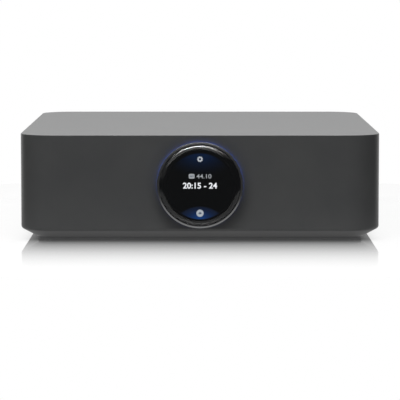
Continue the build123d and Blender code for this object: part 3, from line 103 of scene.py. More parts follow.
# Finishes: roughness of every noise, rays of every soft edge, and the volume ring's turned lines
# per metre of radius, in radians
noise_roughness = 0.6
edge_samples = 4
turned_lines = 42000.0

# Light ring: its glow at the foot and at the top, and how far from the dial's middle each is reached; the
# glow is real, its fall towards the foot is painted shade
halo_least = 5.0
halo_most = 26.0
halo_rise = 0.012

# Studio: how bright the world is on each side and overhead, over which directions that fades in,
# and the softboxes
room_light = 0.26
gloss_dark = 0.07
side_light = 0.25
side_span = (-0.45, -0.80)
side_foot = (0.0, 0.15)
behind_span = (0.50, 0.95)
behind_foot = (-0.45, -0.15)
behind_foot_light = 0.25
overhead_span = (0.50, 0.85)
lamp_aim = 0.04
key_place = (-0.14, -0.65, 1.13)
key_step = 0.02
key_sizes = ((2.00, 0.22), (1.30, 0.22), (0.70, 0.22))
key_powers = (6.0, 7.2, 4.2)
strip_place = (-0.45, -1.10, 0.90)
strip_size = (2.20, 0.60)
strip_power = 4.4
back_place = (0.0, 0.80, 1.25)
back_size = (1.20, 0.50)
back_power = 6.0

# Display: measures on the panel's face
active_radius = 0.02185
active_drop = 0.0007
low_lens_drop = 0.0339
low_lens_radius = 0.0200
low_spot = 0.0219
low_spot_reach = 0.0080
high_spot = 0.0210
high_spot_core = 0.003
high_spot_reach = 0.0160
spot_squash = 0.6
active_soft = 0.0002
low_lens_soft = 0.0006
pixel_scale = 9000.0
pixel_dim = 0.93

# Display marks: places from the dial's middle, sizes, and how far they stand before the panel
mark_gap = 0.00004
mark_step = 0.00003
cog_rise = 0.0173
cog_radius = 0.0019
cog_hole = 0.0008
cog_teeth = 8
cog_tooth = 0.00034
tooth_steps = 8
plate_corner_steps = 6
disc_corners = 64
badge_place = (-0.0055, 0.0060)
badge_size = (0.0038, 0.0031)
badge_corner = 0.0006
slit_pitch = 0.0009
slit_size = (0.0004, 0.0011)
slit_corner = 0.00015
small_x = 0.0026
small_size = (0.0098, 0.0029)
small_weight = 0.00003
large_drop = 0.0002
large_size = (0.0226, 0.0040)
large_weight = 0.00014
disc_drop = 0.0185
disc_radius = 0.0024
disc_hole = 0.00002
arrow_x = 0.00065
arrow_size = (0.0011, 0.0016)

# Phono jacks: block, collar, core and bore, as in the part's source, with a thin margin
jack_block_height = 0.027
jack_pitch = 0.014
jack_block_behind = 0.00279
jack_collar_front = 0.0009
jack_core_radius = 0.00321
jack_bore_radius = 0.00161
line_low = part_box("line_jacks")[0]
jack_low = line_low.z + (jack_block_height - jack_pitch) / 2
jack_heights = (jack_low, jack_low + jack_pitch)

# Sockets: width, foot and height of each tongue, and where the Ethernet contacts lie
hdmi_tongue = (0.0112, 0.0020, 0.0015)
usb_tongue = (0.0106, 0.0031, 0.0015)
contacts_half_width = 0.0042
contacts_front = 0.0038
contacts_back = 0.0131
contacts_top = 0.01179
contacts_bottom = 0.01125

# Print on the rear panel
print_gap = 0.00005
number_rise = 0.0082
number_size = 0.0024
letter_aside = 0.0075
letter_off = 0.0035
letter_size = 0.0019
terminal_letter_rise = 0.0021
terminal_letter_size = 0.0021
sign_size = 0.0034
sign_weight = 0.00006

# Height of a numeral or capital as a share of the font's size
letter_share = 0.70

# Colours, linear
shell_dark = (0.045, 0.046, 0.047)
shell_light = (0.051, 0.052, 0.052)
shell_painted_light = (0.105, 0.106, 0.107)
display_white = (0.90, 0.92, 0.95)
display_grey = (0.36, 0.38, 0.40)
display_cold = (0.52, 0.55, 0.58)
display_dim = (0.40, 0.44, 0.48)
display_dark = (0.012, 0.03, 0.08)
panel_black = (0.0024, 0.0026, 0.0030)
low_lens_near = (0.0060, 0.045, 0.190)
low_lens_far = (0.0060, 0.0105, 0.0250)
high_blue = (0.0032, 0.0108, 0.0352)
halo_blue = (0.03, 0.13, 0.75)
cap_red_dark = (0.30, 0.006, 0.008)
cap_red_light = (0.48, 0.012, 0.012)
gold_dark = (0.70, 0.46, 0.17)
gold_light = (0.86, 0.60, 0.26)
black_dark = (0.007, 0.007, 0.0075)
black_light = (0.013, 0.013, 0.0135)
steel_dark = (0.50, 0.50, 0.50)
steel_light = (0.66, 0.66, 0.65)
copper_dark = (0.62, 0.28, 0.14)
copper_light = (0.80, 0.40, 0.22)
pure_black = (0.0, 0.0, 0.0)
pure_white = (1.0, 1.0, 1.0)


def feed(tree, value, socket):
    """Link an output, or set a plain value."""
    if isinstance(value, bpy.types.NodeSocket):
        tree.links.new(value, socket)
    else:
        socket.default_value = value


def math_node(tree, operation, a, b=0.0):
    node = tree.nodes.new("ShaderNodeMath")
    node.operation = operation
    feed(tree, a, node.inputs[0])
    feed(tree, b, node.inputs[1])
    return node.outputs[0]


def opaque(colour):
    """An RGB triple as a solid RGBA colour; an output stays as it is."""
    return (*colour, 1.0) if isinstance(colour, tuple) else colour


class Finish:
    """A procedural material and the small steps that build its nodes."""

    def __init__(self, name, rough=0.5, metal=0.0, specular=0.5):
        self.material = bpy.data.materials.new(name)
        self.material.use_nodes = True
        self.tree = self.material.node_tree
        self.nodes = self.tree.nodes
        self.links = self.tree.links
        self.shader = self.nodes["Principled BSDF"]
        self.shader.inputs["Roughness"].default_value = rough
        self.shader.inputs["Metallic"].default_value = metal
        self.shader.inputs["Specular IOR Level"].default_value = specular
        self.place = self.nodes.new("ShaderNodeTexCoord").outputs["Object"]

    def feed(self, value, name):
        """Give the shader's own socket an output or a plain value."""
        feed(self.tree, value, self.shader.inputs[name])

    def math(self, operation, a, b=0.0):
        return math_node(self.tree, operation, a, b)

    def between(self, value, low, high):
        """One where the value lies between two limits, else nought."""
        above = self.math("GREATER_THAN", value, low)
        return self.math("MULTIPLY", above, self.math("LESS_THAN", value, high))

    def axes(self):
        node = self.nodes.new("ShaderNodeSeparateXYZ")
        self.links.new(self.place, node.inputs[0])
        return node.outputs

    def dial_radius(self, rise=0.0):
        """Distance from the dial's axis, or from a line above or below it."""
        x, _, z = self.axes()
        up = self.math("SUBTRACT", z, dial_z + rise)
        return self.math("SQRT", self.math("ADD", self.math("POWER", x, 2.0), self.math("POWER", up, 2.0)))

    def stretched(self, x, y, z):
        """Place with its axes scaled, for grain that runs one way."""
        node = self.nodes.new("ShaderNodeMapping")
        node.inputs["Scale"].default_value = (x, y, z)
        self.links.new(self.place, node.inputs["Vector"])
        return node.outputs[0]

    def noise(self, scale, detail=3.0, place=None):
        node = self.nodes.new("ShaderNodeTexNoise")
        node.inputs["Scale"].default_value = scale
        node.inputs["Detail"].default_value = detail
        node.inputs["Roughness"].default_value = noise_roughness
        self.links.new(place or self.place, node.inputs["Vector"])
        return node.outputs["Fac"]

    def cells(self, scale):
        node = self.nodes.new("ShaderNodeTexVoronoi")
        node.inputs["Scale"].default_value = scale
        self.links.new(self.place, node.inputs["Vector"])
        return node.outputs["Distance"]

    def ramp(self, value, low, high, start=0.0, end=1.0):
        """Map a value from low..high to start..end, clamped."""
        node = self.nodes.new("ShaderNodeMapRange")
        node.inputs["From Min"].default_value = low
        node.inputs["From Max"].default_value = high
        node.inputs["To Min"].default_value = start
        node.inputs["To Max"].default_value = end
        self.links.new(value, node.inputs["Value"])
        return node.outputs[0]

    def mix(self, factor, a, b):
        """Mix two colours, each an RGB triple or an output."""
        node = self.nodes.new("ShaderNodeMix")
        node.data_type = "RGBA"
        feed(self.tree, factor, node.inputs["Factor"])
        sockets = [s for s in node.inputs if s.type == "RGBA"]
        for value, socket in zip((a, b), sockets):
            feed(self.tree, opaque(value), socket)
        return [s for s in node.outputs if s.type == "RGBA"][0]

    def colour(self, value):
        self.feed(opaque(value), "Base Color")

    def rough(self, value):
        self.feed(value, "Roughness")

    def bump(self, height, distance, strength=1.0, edge=None):
        """Surface relief, and soft edges where an edge radius is given."""
        node = self.nodes.new("ShaderNodeBump")
        node.inputs["Distance"].default_value = distance
        node.inputs["Strength"].default_value = strength
        self.links.new(height, node.inputs["Height"])
        if edge:
            self.links.new(self.soft_edge(edge), node.inputs["Normal"])
        self.links.new(node.outputs[0], self.shader.inputs["Normal"])

    def soft_edge(self, radius):
        node = self.nodes.new("ShaderNodeBevel")
        node.samples = edge_samples
        node.inputs["Radius"].default_value = radius
        return node.outputs[0]

    def glow(self, colour, strength):
        self.feed(opaque(colour), "Emission Color")
        self.feed(strength, "Emission Strength")


# Materials of the case


def blasted_metal():
    """Fine bead-blasted, dark anodised shell."""
    f = Finish("shell_anodised", specular=0.40)
    cloud = f.noise(28.0, 4.0)
    grain = f.noise(5200.0, 2.0)
    on_front = f.math("LESS_THAN", f.axes()[1], front_face + face_margin)
    # Painted shade: the front's colour is darkened round the ring, as an occlusion shadow
    painted_ring_shade = f.ramp(f.dial_radius(), ring_radius, ring_radius + ring_shade_reach, ring_shade, 0.0)
    metal = f.mix(f.ramp(cloud, 0.35, 0.65), shell_dark, shell_light)
    # Painted light: the shell's colour is lighter in a band at its lower edge, to brighten the lower chamfer
    painted_light_band = f.ramp(f.axes()[2], shell_low.z, shell_low.z + painted_light_height, 1.0, 0.0)
    metal = f.mix(painted_light_band, metal, shell_painted_light)
    f.colour(f.mix(f.math("MULTIPLY", on_front, painted_ring_shade), metal, pure_black))
    f.rough(f.ramp(grain, 0.3, 0.7, 0.34, 0.40))
    f.bump(grain, 0.000012, 0.6)
    return f.material


def powder_coat(name, dark, light, rough=0.55):
    """Paint with a fine orange-peel surface."""
    f = Finish(name)
    peel = f.noise(2600.0, 3.0)
    f.colour(f.mix(f.ramp(f.noise(60.0), 0.3, 0.7), dark, light))
    f.rough(f.ramp(peel, 0.3, 0.7, rough - 0.06, rough + 0.06))
    f.bump(peel, 0.00005, 0.6, edge=0.0003)
    return f.material


def rubber():
    f = Finish("foot_rubber", specular=0.35)
    grain = f.noise(1800.0, 4.0)
    f.colour(f.mix(grain, (0.012, 0.012, 0.013), (0.022, 0.022, 0.024)))
    f.rough(f.ramp(grain, 0.3, 0.7, 0.7, 0.85))
    f.bump(grain, 0.00006, 0.5, edge=0.0003)
    return f.material


def plain_metal(name, dark, light, rough=0.25):
    """Turned or plated metal with fine marks."""
    f = Finish(name, metal=1.0)
    marks = f.noise(900.0, 4.0)
    f.colour(f.mix(f.ramp(marks, 0.3, 0.7), dark, light))
    f.rough(f.ramp(f.noise(360.0), 0.3, 0.7, rough - 0.07, rough + 0.07))
    f.bump(marks, 0.000006, 0.4, edge=0.0002)
    return f.material


def brushed_metal(name, dark, light):
    """Metal with long marks that run from front to back."""
    f = Finish(name, metal=1.0)
    marks = f.noise(1.0, 3.0, place=f.stretched(5200.0, 120.0, 5200.0))
    f.colour(f.mix(f.ramp(marks, 0.3, 0.7), dark, light))
    f.rough(f.ramp(marks, 0.2, 0.8, 0.22, 0.38))
    f.bump(marks, 0.00001, 0.4, edge=0.0002)
    return f.material


def plastic(name, dark, light, rough=0.42, edge=0.00025):
    """Moulded plastic with a faint spark-eroded texture."""
    f = Finish(name, specular=0.35)
    speckle = f.noise(1500.0, 3.0)
    f.colour(f.mix(f.ramp(f.noise(90.0), 0.3, 0.7), dark, light))
    f.rough(f.ramp(speckle, 0.3, 0.7, rough - 0.06, rough + 0.08))
    f.bump(speckle, 0.00003, 0.4, edge=edge)
    return f.material


# Materials of the dial


def ring_metal():
    """Dark polished ring, turned, so its fine marks run round the dial's axis."""
    f = Finish("ring_turned", metal=1.0)
    lines = f.math("SINE", f.math("MULTIPLY", f.dial_radius(), turned_lines))
    f.colour(f.mix(f.ramp(lines, -1.0, 1.0), (0.27, 0.272, 0.275), (0.31, 0.313, 0.317)))
    f.rough(f.ramp(f.noise(700.0), 0.3, 0.7, 0.20, 0.25))
    f.bump(lines, 0.0000012, 0.25)
    return f.material


def light_guide():
    f = Finish("light_guide", rough=0.5)
    cloud = f.noise(400.0)
    f.colour(f.mix(cloud, (0.35, 0.42, 0.60), (0.45, 0.50, 0.66)))
    height = f.math("SUBTRACT", f.axes()[2], dial_z)
    # The glow weakens towards the foot of the ring: painted shade on a real glow
    f.glow(halo_blue, f.ramp(height, -halo_rise, halo_rise, halo_least, halo_most))
    f.rough(f.ramp(cloud, 0.3, 0.7, 0.4, 0.6))
    return f.material


def cover_glass():
    f = Finish("cover_glass", rough=0.02)
    f.shader.inputs["IOR"].default_value = 1.5
    f.shader.inputs["Transmission Weight"].default_value = 1.0
    smear = f.noise(55.0, 4.0)
    f.colour(f.mix(smear, (0.93, 0.94, 0.95), (0.96, 0.965, 0.97)))
    f.rough(f.ramp(smear, 0.3, 0.8, 0.10, 0.13))
    return f.material


def panel_glow():
    """The lit panel: near black, a soft blue glow at the top and a blue lens at the bottom."""
    f = Finish("display_lit", rough=0.5)
    x, _, z = f.axes()

    def inside(height, radius, soft):
        return f.ramp(f.dial_radius(height), radius, radius - soft)

    def spot(height, near, far):
        """Glow round a point above or below the dial's middle, wider than high."""
        across = f.math("POWER", f.math("MULTIPLY", x, spot_squash), 2.0)
        up = f.math("POWER", f.math("SUBTRACT", z, dial_z + height), 2.0)
        away = f.math("SQRT", f.math("ADD", across, up))
        return f.math("POWER", f.ramp(away, near, far, 1.0, 0.0), 2.0)

    active = inside(-active_drop, active_radius, active_soft)
    low = f.math("MULTIPLY", inside(-low_lens_drop, low_lens_radius, low_lens_soft), active)
    high = f.math("MULTIPLY", spot(high_spot, high_spot_core, high_spot_reach), active)
    light = f.mix(high, panel_black, high_blue)
    light = f.mix(low, light, f.mix(spot(-low_spot, 0.0, low_spot_reach), low_lens_far, low_lens_near))
    pixels = f.cells(pixel_scale)
    f.colour(f.mix(pixels, (0.002, 0.002, 0.0022), (0.004, 0.004, 0.0044)))
    f.glow(light, 1.0)
    return f.material


def black_print():
    """Black border behind the glass, with a faint painted glow in place of the light that falls on it."""
    f = Finish("black_print", rough=0.5, specular=0.3)
    grain = f.noise(900.0)
    f.colour(f.mix(grain, (0.003, 0.003, 0.003), (0.005, 0.005, 0.005)))
    f.rough(f.ramp(grain, 0.3, 0.7, 0.45, 0.6))
    # Painted light: the print glows faintly though it is no lamp
    f.glow(panel_black, 1.0)
    return f.material


def lit(name, colour):
    """Display mark: lit from behind, with the fine unevenness of pixels."""
    f = Finish(name, rough=0.5)
    pixels = f.cells(pixel_scale)
    dim = tuple(c * pixel_dim for c in colour)
    f.colour(f.mix(pixels, (0.01, 0.01, 0.01), (0.02, 0.02, 0.02)))
    f.glow(f.mix(pixels, dim, colour), 1.0)
    return f.material


# Materials of the sockets


def banded(name, bands, rough=0.35):
    """Plastic and metal in one node: each band is a mask, a colour pair and how metallic it is."""
    f = Finish(name, rough=rough)
    grain = f.noise(1400.0, 3.0)
    colour = None
    metal = None
    for mask, dark, light, metallic in bands(f):
        shade = f.mix(grain, dark, light)
        if colour is None:
            colour = shade
            metal = f.ramp(grain, 0.0, 1.0, metallic, metallic)
            continue
        colour = f.mix(mask, colour, shade)
        metal = f.math("ADD", f.math("MULTIPLY", metal, f.math("SUBTRACT", 1.0, mask)),
                       f.math("MULTIPLY", mask, metallic))
    f.colour(colour)
    f.feed(metal, "Metallic")
    f.rough(f.ramp(grain, 0.2, 0.8, rough - 0.08, rough + 0.08))
    f.bump(grain, 0.00001, 0.4, edge=0.00015)
    return f.material


def middle_x(node):
    low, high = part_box(node)
    return (low.x + high.x) / 2


def jack_metal(name, middle):
    """Phono jacks: black block, red and white collars and cores, gold barrels."""
    low_z, high_z = jack_heights

    def bands(f):
        x, y, z = f.axes()
        across = f.math("POWER", f.math("SUBTRACT", x, middle), 2.0)
        middle_z = (low_z + high_z) / 2
        upper = f.math("GREATER_THAN", z, middle_z)
        from_low = f.math("SUBTRACT", z, low_z)
        height = f.math("SUBTRACT", from_low, f.math("MULTIPLY", upper, high_z - low_z))
        radius = f.math("SQRT", f.math("ADD", across, f.math("POWER", height, 2.0)))
        past_block = f.math("GREATER_THAN", y, rear_face - jack_block_behind)
        past_collar = f.math("GREATER_THAN", y, rear_face + jack_collar_front)
        barrel = f.math("MULTIPLY", past_collar, f.math("GREATER_THAN", radius, jack_core_radius))
        bore = f.math("LESS_THAN", radius, jack_bore_radius)
        lower = f.math("SUBTRACT", 1.0, upper)
        return [
            (None, black_dark, black_light, 0.0),
            (f.math("MULTIPLY", past_block, upper), (0.70, 0.70, 0.68), (0.80, 0.80, 0.78), 0.0),
            (f.math("MULTIPLY", past_block, lower), (0.40, 0.010, 0.012), (0.52, 0.016, 0.016), 0.0),
            (barrel, gold_dark, gold_light, 1.0),
            (f.math("MULTIPLY", past_block, bore), gold_dark, gold_light, 1.0),
        ]

    return banded(name, bands)


def socket_metal(name, node, tongue):
    """Sheet-metal socket with a plastic tongue inside."""
    width, foot, height = tongue
    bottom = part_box(node)[0].z + foot

    def bands(f):
        x, _, z = f.axes()
        inside = f.between(z, bottom, bottom + height)
        across = f.between(x, middle_x(node) - width / 2, middle_x(node) + width / 2)
        inside = f.math("MULTIPLY", inside, across)
        return [(None, steel_dark, steel_light, 1.0), (inside, black_dark, black_light, 0.0)]

    return banded(name, bands, rough=0.3)


def ethernet_finish():
    """Black socket body with gold contacts inside."""
    low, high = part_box("ethernet_socket")
    middle = middle_x("ethernet_socket")

    def bands(f):
        x, y, z = f.axes()
        inside = f.between(x, middle - contacts_half_width, middle + contacts_half_width)
        inside = f.math("MULTIPLY", inside, f.between(y, high.y - contacts_back, high.y - contacts_front))
        inside = f.math("MULTIPLY", inside, f.between(z, low.z + contacts_bottom, low.z + contacts_top))
        return [(None, black_dark, black_light, 0.0), (inside, gold_dark, gold_light, 1.0)]

    return banded("ethernet_body", bands)


def board_finish(name, mask_dark, mask_light):
    """Circuit board: solder mask over traces."""
    f = Finish(name, rough=0.35)
    brick = f.nodes.new("ShaderNodeTexBrick")
    brick.inputs["Scale"].default_value = 260.0
    brick.inputs["Mortar Size"].default_value = 0.06
    f.links.new(f.place, brick.inputs["Vector"])
    traces = brick.outputs["Fac"]
    f.colour(f.mix(traces, f.mix(f.noise(120.0), mask_dark, mask_light), mask_light))
    f.rough(f.ramp(f.noise(800.0), 0.3, 0.7, 0.28, 0.42))
    f.bump(traces, 0.00003, 0.5, edge=0.0001)
    return f.material


def wire_finish(name, dark, light):
    f = Finish(name)
    soft = f.noise(500.0, 4.0)
    f.colour(f.mix(soft, dark, light))
    f.rough(f.ramp(soft, 0.3, 0.7, 0.36, 0.5))
    f.bump(soft, 0.00003, 0.4)
    return f.material


def paint(material, *nodes):
    """Give nodes a material in each of their slots."""
    for node in nodes:
        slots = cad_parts[node].data.materials
        if not slots:
            slots.append(material)
        for i in range(len(slots)):
            slots[i] = material


def paint_everything():
    """Every node's finish, with the glass and the ring turned anew."""
    paint(blasted_metal(), "housing")
    paint(powder_coat("plate_coat", (0.120, 0.121, 0.123), (0.136, 0.137, 0.139)), "base_plate")
    paint(powder_coat("rear_coat", (0.010, 0.010, 0.0105), (0.014, 0.014, 0.0145)), "rear_panel")
    paint(rubber(), "rubber_feet")
    zinc = plain_metal("screw_black_zinc", (0.10, 0.10, 0.102), (0.16, 0.16, 0.163), rough=0.30)
    paint(zinc, "base_screws", "rear_screws", "dial_screws")
    steel = plain_metal("steel", steel_dark, steel_light, rough=0.32)
    paint(steel, "board_screws", "ring_retainer", "dial_bracket", "processor_shield", "radio_module")
    paint(plain_metal("brass_nickel", (0.52, 0.50, 0.44), (0.66, 0.64, 0.58)), "standoffs")
    make_ring(ring_metal())
    paint(light_guide(), "light_ring")
    make_glass(cover_glass())
    paint(panel_glow(), "display_panel")
    paint(black_print(), "display_carrier")
    black = plastic("black_plastic", black_dark, black_light)
    paint(black, "optical_socket", "optical_shutter", "terminal_base",
          "reset_button", "mains_inlet", "amplifier_chips")
    magnet = plastic("magnet_bonded", (0.030, 0.029, 0.028), (0.050, 0.048, 0.046), rough=0.6)
    paint(magnet, "encoder_magnet_ring")
    board = board_finish("board_black", (0.006, 0.010, 0.009), (0.012, 0.020, 0.017))
    paint(board, "display_board", "main_board", "amplifier_board", "antennas")
    paint(board_finish("board_green", (0.004, 0.040, 0.016), (0.010, 0.070, 0.030)), "power_board")
    paint(brushed_metal("sink_aluminium", (0.35, 0.35, 0.36), (0.52, 0.52, 0.53)), "heat_sink")
    paint(plastic("ferrite", (0.030, 0.030, 0.033), (0.050, 0.050, 0.054), rough=0.7), "output_inductors")
    paint(plastic("can_sleeve", (0.012, 0.014, 0.022), (0.022, 0.024, 0.036), rough=0.3),
          "supply_capacitors", "bulk_capacitors")
    paint(plastic("winding_tape", (0.42, 0.30, 0.05), (0.56, 0.42, 0.09), rough=0.4), "power_transformer")
    paint(plain_metal("winding_copper", copper_dark, copper_light, rough=0.3), "filter_choke")
    paint(plastic("insulation_film", (0.55, 0.55, 0.50), (0.66, 0.66, 0.60), rough=0.3), "insulation_sheet")
    paint(wire_finish("flex_polyimide", (0.32, 0.14, 0.02), (0.46, 0.22, 0.04)), "display_flex")
    paint(wire_finish("ribbon_grey", (0.28, 0.28, 0.28), (0.40, 0.40, 0.39)), "signal_ribbon")
    paint(jack_metal("line_jack", middle_x("line_jacks")), "line_jacks")
    paint(jack_metal("output_jack", middle_x("output_jacks")), "output_jacks")
    paint(socket_metal("hdmi_shell", "hdmi_socket", hdmi_tongue), "hdmi_socket")
    paint(socket_metal("usb_shell", "usb_socket", usb_tongue), "usb_socket")
    paint(ethernet_finish(), "ethernet_socket")
    paint(plain_metal("contact_tin", (0.58, 0.56, 0.50), (0.70, 0.68, 0.62)), "inlet_contacts")
    paint(plain_metal("post_gold", gold_dark, gold_light, rough=0.22), "terminal_posts")
    red = plastic("cap_red", cap_red_dark, cap_red_light, rough=0.22, edge=0.0003)
    dark = plastic("cap_black", (0.008, 0.008, 0.0085), (0.015, 0.015, 0.0155), rough=0.22, edge=0.0003)
    for side in ("left", "right"):
        paint(red, f"terminal_cap_{side}_plus", f"terminal_washer_{side}_plus")
        paint(dark, f"terminal_cap_{side}_minus", f"terminal_washer_{side}_minus")
    dark_wire = wire_finish("wire_dark", (0.012, 0.012, 0.013), (0.022, 0.022, 0.024))
    paint(dark_wire, "antenna_leads", "mains_wires", "display_cable")
    paint(wire_finish("wire_earth", (0.05, 0.22, 0.03), (0.12, 0.36, 0.05)), "earth_wire")
    red_wire = wire_finish("wire_red", (0.36, 0.012, 0.012), (0.48, 0.02, 0.02))
    paint(red_wire, "supply_harness", "speaker_wires")


# Turned pieces


def glass_outline(low, high):
    """Radius and depth of the glass from the flat's rim to the back: lead, long slope, upright rim."""
    radius = (high.x - low.x) / 2
    crest = radius - slope_width
    lead_radius = lead_width / math.sin(lead_turn)
    slope_radius = slope_width / (math.sin(slope_turn) - math.sin(lead_turn))
    outline = []
    for i in range(lead_steps + 1):
        turn = lead_turn * i / lead_steps
        outline.append((crest - lead_width + lead_radius * math.sin(turn),
                        low.y + lead_radius * (1 - math.cos(turn))))
    crest_y = outline[-1][1]
    for i in range(1, slope_steps + 1):
        turn = lead_turn + (slope_turn - lead_turn) * i / slope_steps
        outline.append((crest + slope_radius * (math.sin(turn) - math.sin(lead_turn)),
                        crest_y + slope_radius * (math.cos(lead_turn) - math.cos(turn))))
    return outline + [(radius, high.y)]


def turned(name, outline, material, body, closed=False):
    """Solid of revolution about the dial's axis, from an outline that runs from the front to the back."""
    vertices = []
    for radius, y in outline:
        for i in range(turned_corners):
            turn = 2 * math.pi * i / turned_corners
            vertices.append((radius * math.cos(turn), y, dial_z + radius * math.sin(turn)))
    rings = len(outline)
    faces = []
    for ring in range(rings if closed else rings - 1):
        near = ring * turned_corners
        far = (ring + 1) % rings * turned_corners
        for i in range(turned_corners):
            after = (i + 1) % turned_corners
            faces.append((near + i, far + i, far + after, near + after))
    if not closed:
        faces.append(tuple(range(turned_corners)))
        faces.append(tuple((rings - 1) * turned_corners + i for i in reversed(range(turned_corners))))
    return mesh_object(name, vertices, faces, material, body)


def smooth_bands(piece, first, last):
    """Shade the bands between those points of the outline as one curve."""
    for face in piece.data.polygons[first * turned_corners:last * turned_corners]:
        face.use_smooth = True


def make_glass(material):
    """The cover glass with its rounded edge turned finely enough to mirror the lights smoothly."""
    outline = glass_outline(*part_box("display_glass"))
    glass = turned("cover_glass", outline, material, "chassis")
    smooth_bands(glass, 0, len(outline) - 2)
    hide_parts("display_glass")


def ring_outline(low, high):
    """Section of the volume ring: land, cone, rounded edge, skirt, sleeve, bore, web and inner wall."""
    inner = ring_radius - ring_wall
    back = front_face - ring_back_gap
    edge_start = ring_radius - ring_edge * (1 - math.sin(ring_cone))
    drop = (edge_start - inner - ring_land) * math.tan(ring_cone)
    outline = [(inner, low.y), (inner + ring_land, low.y)]
    for i in range(ring_edge_steps + 1):
        turn = ring_cone + (math.pi / 2 - ring_cone) * i / ring_edge_steps
        outline.append((ring_radius - ring_edge * (1 - math.sin(turn)),
                        low.y + drop + ring_edge * (math.cos(ring_cone) - math.cos(turn))))
    return outline + [(ring_radius, back), (ring_sleeve, back), (ring_sleeve, high.y), (ring_bore, high.y),
                      (ring_bore, back - ring_web), (inner, back - ring_web)]


def make_ring(material):
    """The volume ring, turned as finely as the glass."""
    ring = turned("turned_ring", ring_outline(*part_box("volume_ring")), material, "volume_dial", closed=True)
    smooth_bands(ring, 2, 2 + ring_edge_steps)
    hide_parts("volume_ring")


# Display marks


def mesh_object(name, vertices, faces, material, body="chassis"):
    """A piece from its points and faces, riding on a body."""
    mesh = bpy.data.meshes.new(name)
    mesh.from_pydata(vertices, [], faces)
    mesh.update()
    mesh.materials.append(material)
    piece = bpy.data.objects.new(name, mesh)
    bpy.context.scene.collection.objects.link(piece)
    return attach(piece, body)


def band_faces(steps):
    """Faces of a flat band whose outer and inner points take turns."""
    faces = []
    for i in range(steps):
        a, b = 2 * i, 2 * ((i + 1) % steps)
        faces.append((a, b, b + 1, a + 1))
    return faces


def flat_ring(name, x, z, outer, inner, y, material):
    """Flat ring that faces the front."""
    vertices = []
    for i in range(disc_corners):
        turn = 2 * math.pi * i / disc_corners
        for radius in (outer, inner):
            vertices.append((x + radius * math.cos(turn), y, z + radius * math.sin(turn)))
    return mesh_object(name, vertices, band_faces(disc_corners), material)


def cog(name, x, z, outer, inner, teeth, tooth, y, material):
    """Flat cog wheel with a round hole."""
    steps = teeth * tooth_steps
    vertices = []
    for i in range(steps):
        turn = 2 * math.pi * i / steps
        on_tooth = 1 <= i % tooth_steps <= tooth_steps // 2
        reach = outer if on_tooth else outer - tooth
        vertices.append((x + reach * math.cos(turn), y, z + reach * math.sin(turn)))
        vertices.append((x + inner * math.cos(turn), y, z + inner * math.sin(turn)))
    return mesh_object(name, vertices, band_faces(steps), material)


def rounded_plate(name, x, z, width, height, corner, y, material):
    """Flat rectangle with round corners that faces the front."""
    vertices = []
    for cx, cz, start in ((1, 1, 0), (-1, 1, 90), (-1, -1, 180), (1, -1, 270)):
        for i in range(plate_corner_steps + 1):
            turn = math.radians(start + 90 * i / plate_corner_steps)
            vertices.append((x + cx * (width / 2 - corner) + corner * math.cos(turn), y,
                             z + cz * (height / 2 - corner) + corner * math.sin(turn)))
    return mesh_object(name, vertices, [tuple(range(len(vertices)))], material)


def triangle(name, x, z, width, height, y, material):
    """Triangle that points along +X for a positive width."""
    points = [(x + width / 2, y, z), (x - width / 2, y, z + height / 2), (x - width / 2, y, z - height / 2)]
    return mesh_object(name, points, [(0, 1, 2)], material)


def words(name, text, x, z, height, y, material, weight=0.0, facing=1, width=None):
    """Numbers or signs as a flat mesh; facing -1 looks to the front, 1 to the back."""
    curve = bpy.data.curves.new(name, "FONT")
    curve.body = text
    curve.align_x = "CENTER"
    curve.align_y = "CENTER"
    curve.size = height / letter_share
    curve.offset = weight
    shape = bpy.data.objects.new(name + "_text", curve)
    bpy.context.scene.collection.objects.link(shape)
    bpy.context.view_layer.update()
    mesh = bpy.data.meshes.new_from_object(shape)
    bpy.data.objects.remove(shape)
    xs = [v.co.x for v in mesh.vertices]
    ys = [v.co.y for v in mesh.vertices]
    middle = ((min(xs) + max(xs)) / 2, (min(ys) + max(ys)) / 2)
    stretch = width / (max(xs) - min(xs)) if width else 1.0
    tall = height / (max(ys) - min(ys)) if width else 1.0
    for v in mesh.vertices:
        across = (v.co.x - middle[0]) * stretch * -facing
        v.co = Vector((x + across, y, z + (v.co.y - middle[1]) * tall))
    mesh.materials.clear()
    mesh.materials.append(material)
    piece = bpy.data.objects.new(name, mesh)
    bpy.context.scene.collection.objects.link(piece)
    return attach(piece, "chassis")


def make_display():
    """Numbers and signs on the panel's face, just inside the glass."""
    y = panel_face - mark_gap
    over = y - mark_step
    white = lit("mark_white", display_white)
    grey = lit("mark_grey", display_grey)
    cold = lit("mark_cold", display_cold)
    dim = lit("mark_dim", display_dim)
    dark = lit("mark_dark", display_dark)
    cog("display_cog", 0.0, dial_z + cog_rise, cog_radius, cog_hole, cog_teeth, cog_tooth, y, cold)
    badge_x, badge_rise = badge_place
    badge_z = dial_z + badge_rise
    rounded_plate("display_badge", badge_x, badge_z, *badge_size, badge_corner, y, grey)
    for i in (-1, 0, 1):
        slit_x = badge_x + i * slit_pitch
        rounded_plate(f"display_badge_slit_{i + 2}", slit_x, badge_z, *slit_size, slit_corner, over, dark)
    small_width, small_height = small_size
    words("display_small", "44.10", small_x, badge_z, small_height, y, grey,
          weight=small_weight, facing=-1, width=small_width)
    large_width, large_height = large_size
    words("display_large", "20:15 - 24", 0.0, dial_z - large_drop, large_height, y, white,
          weight=large_weight, facing=-1, width=large_width)
    disc_z = dial_z - disc_drop
    flat_ring("display_disc", 0.0, disc_z, disc_radius, disc_hole, y, dim)
    arrow_width, arrow_height = arrow_size
    triangle("display_next", arrow_x, disc_z, arrow_width, arrow_height, over, dark)
    triangle("display_back", -arrow_x, disc_z, -arrow_width, arrow_height, over, dark)


# Marks on the rear panel


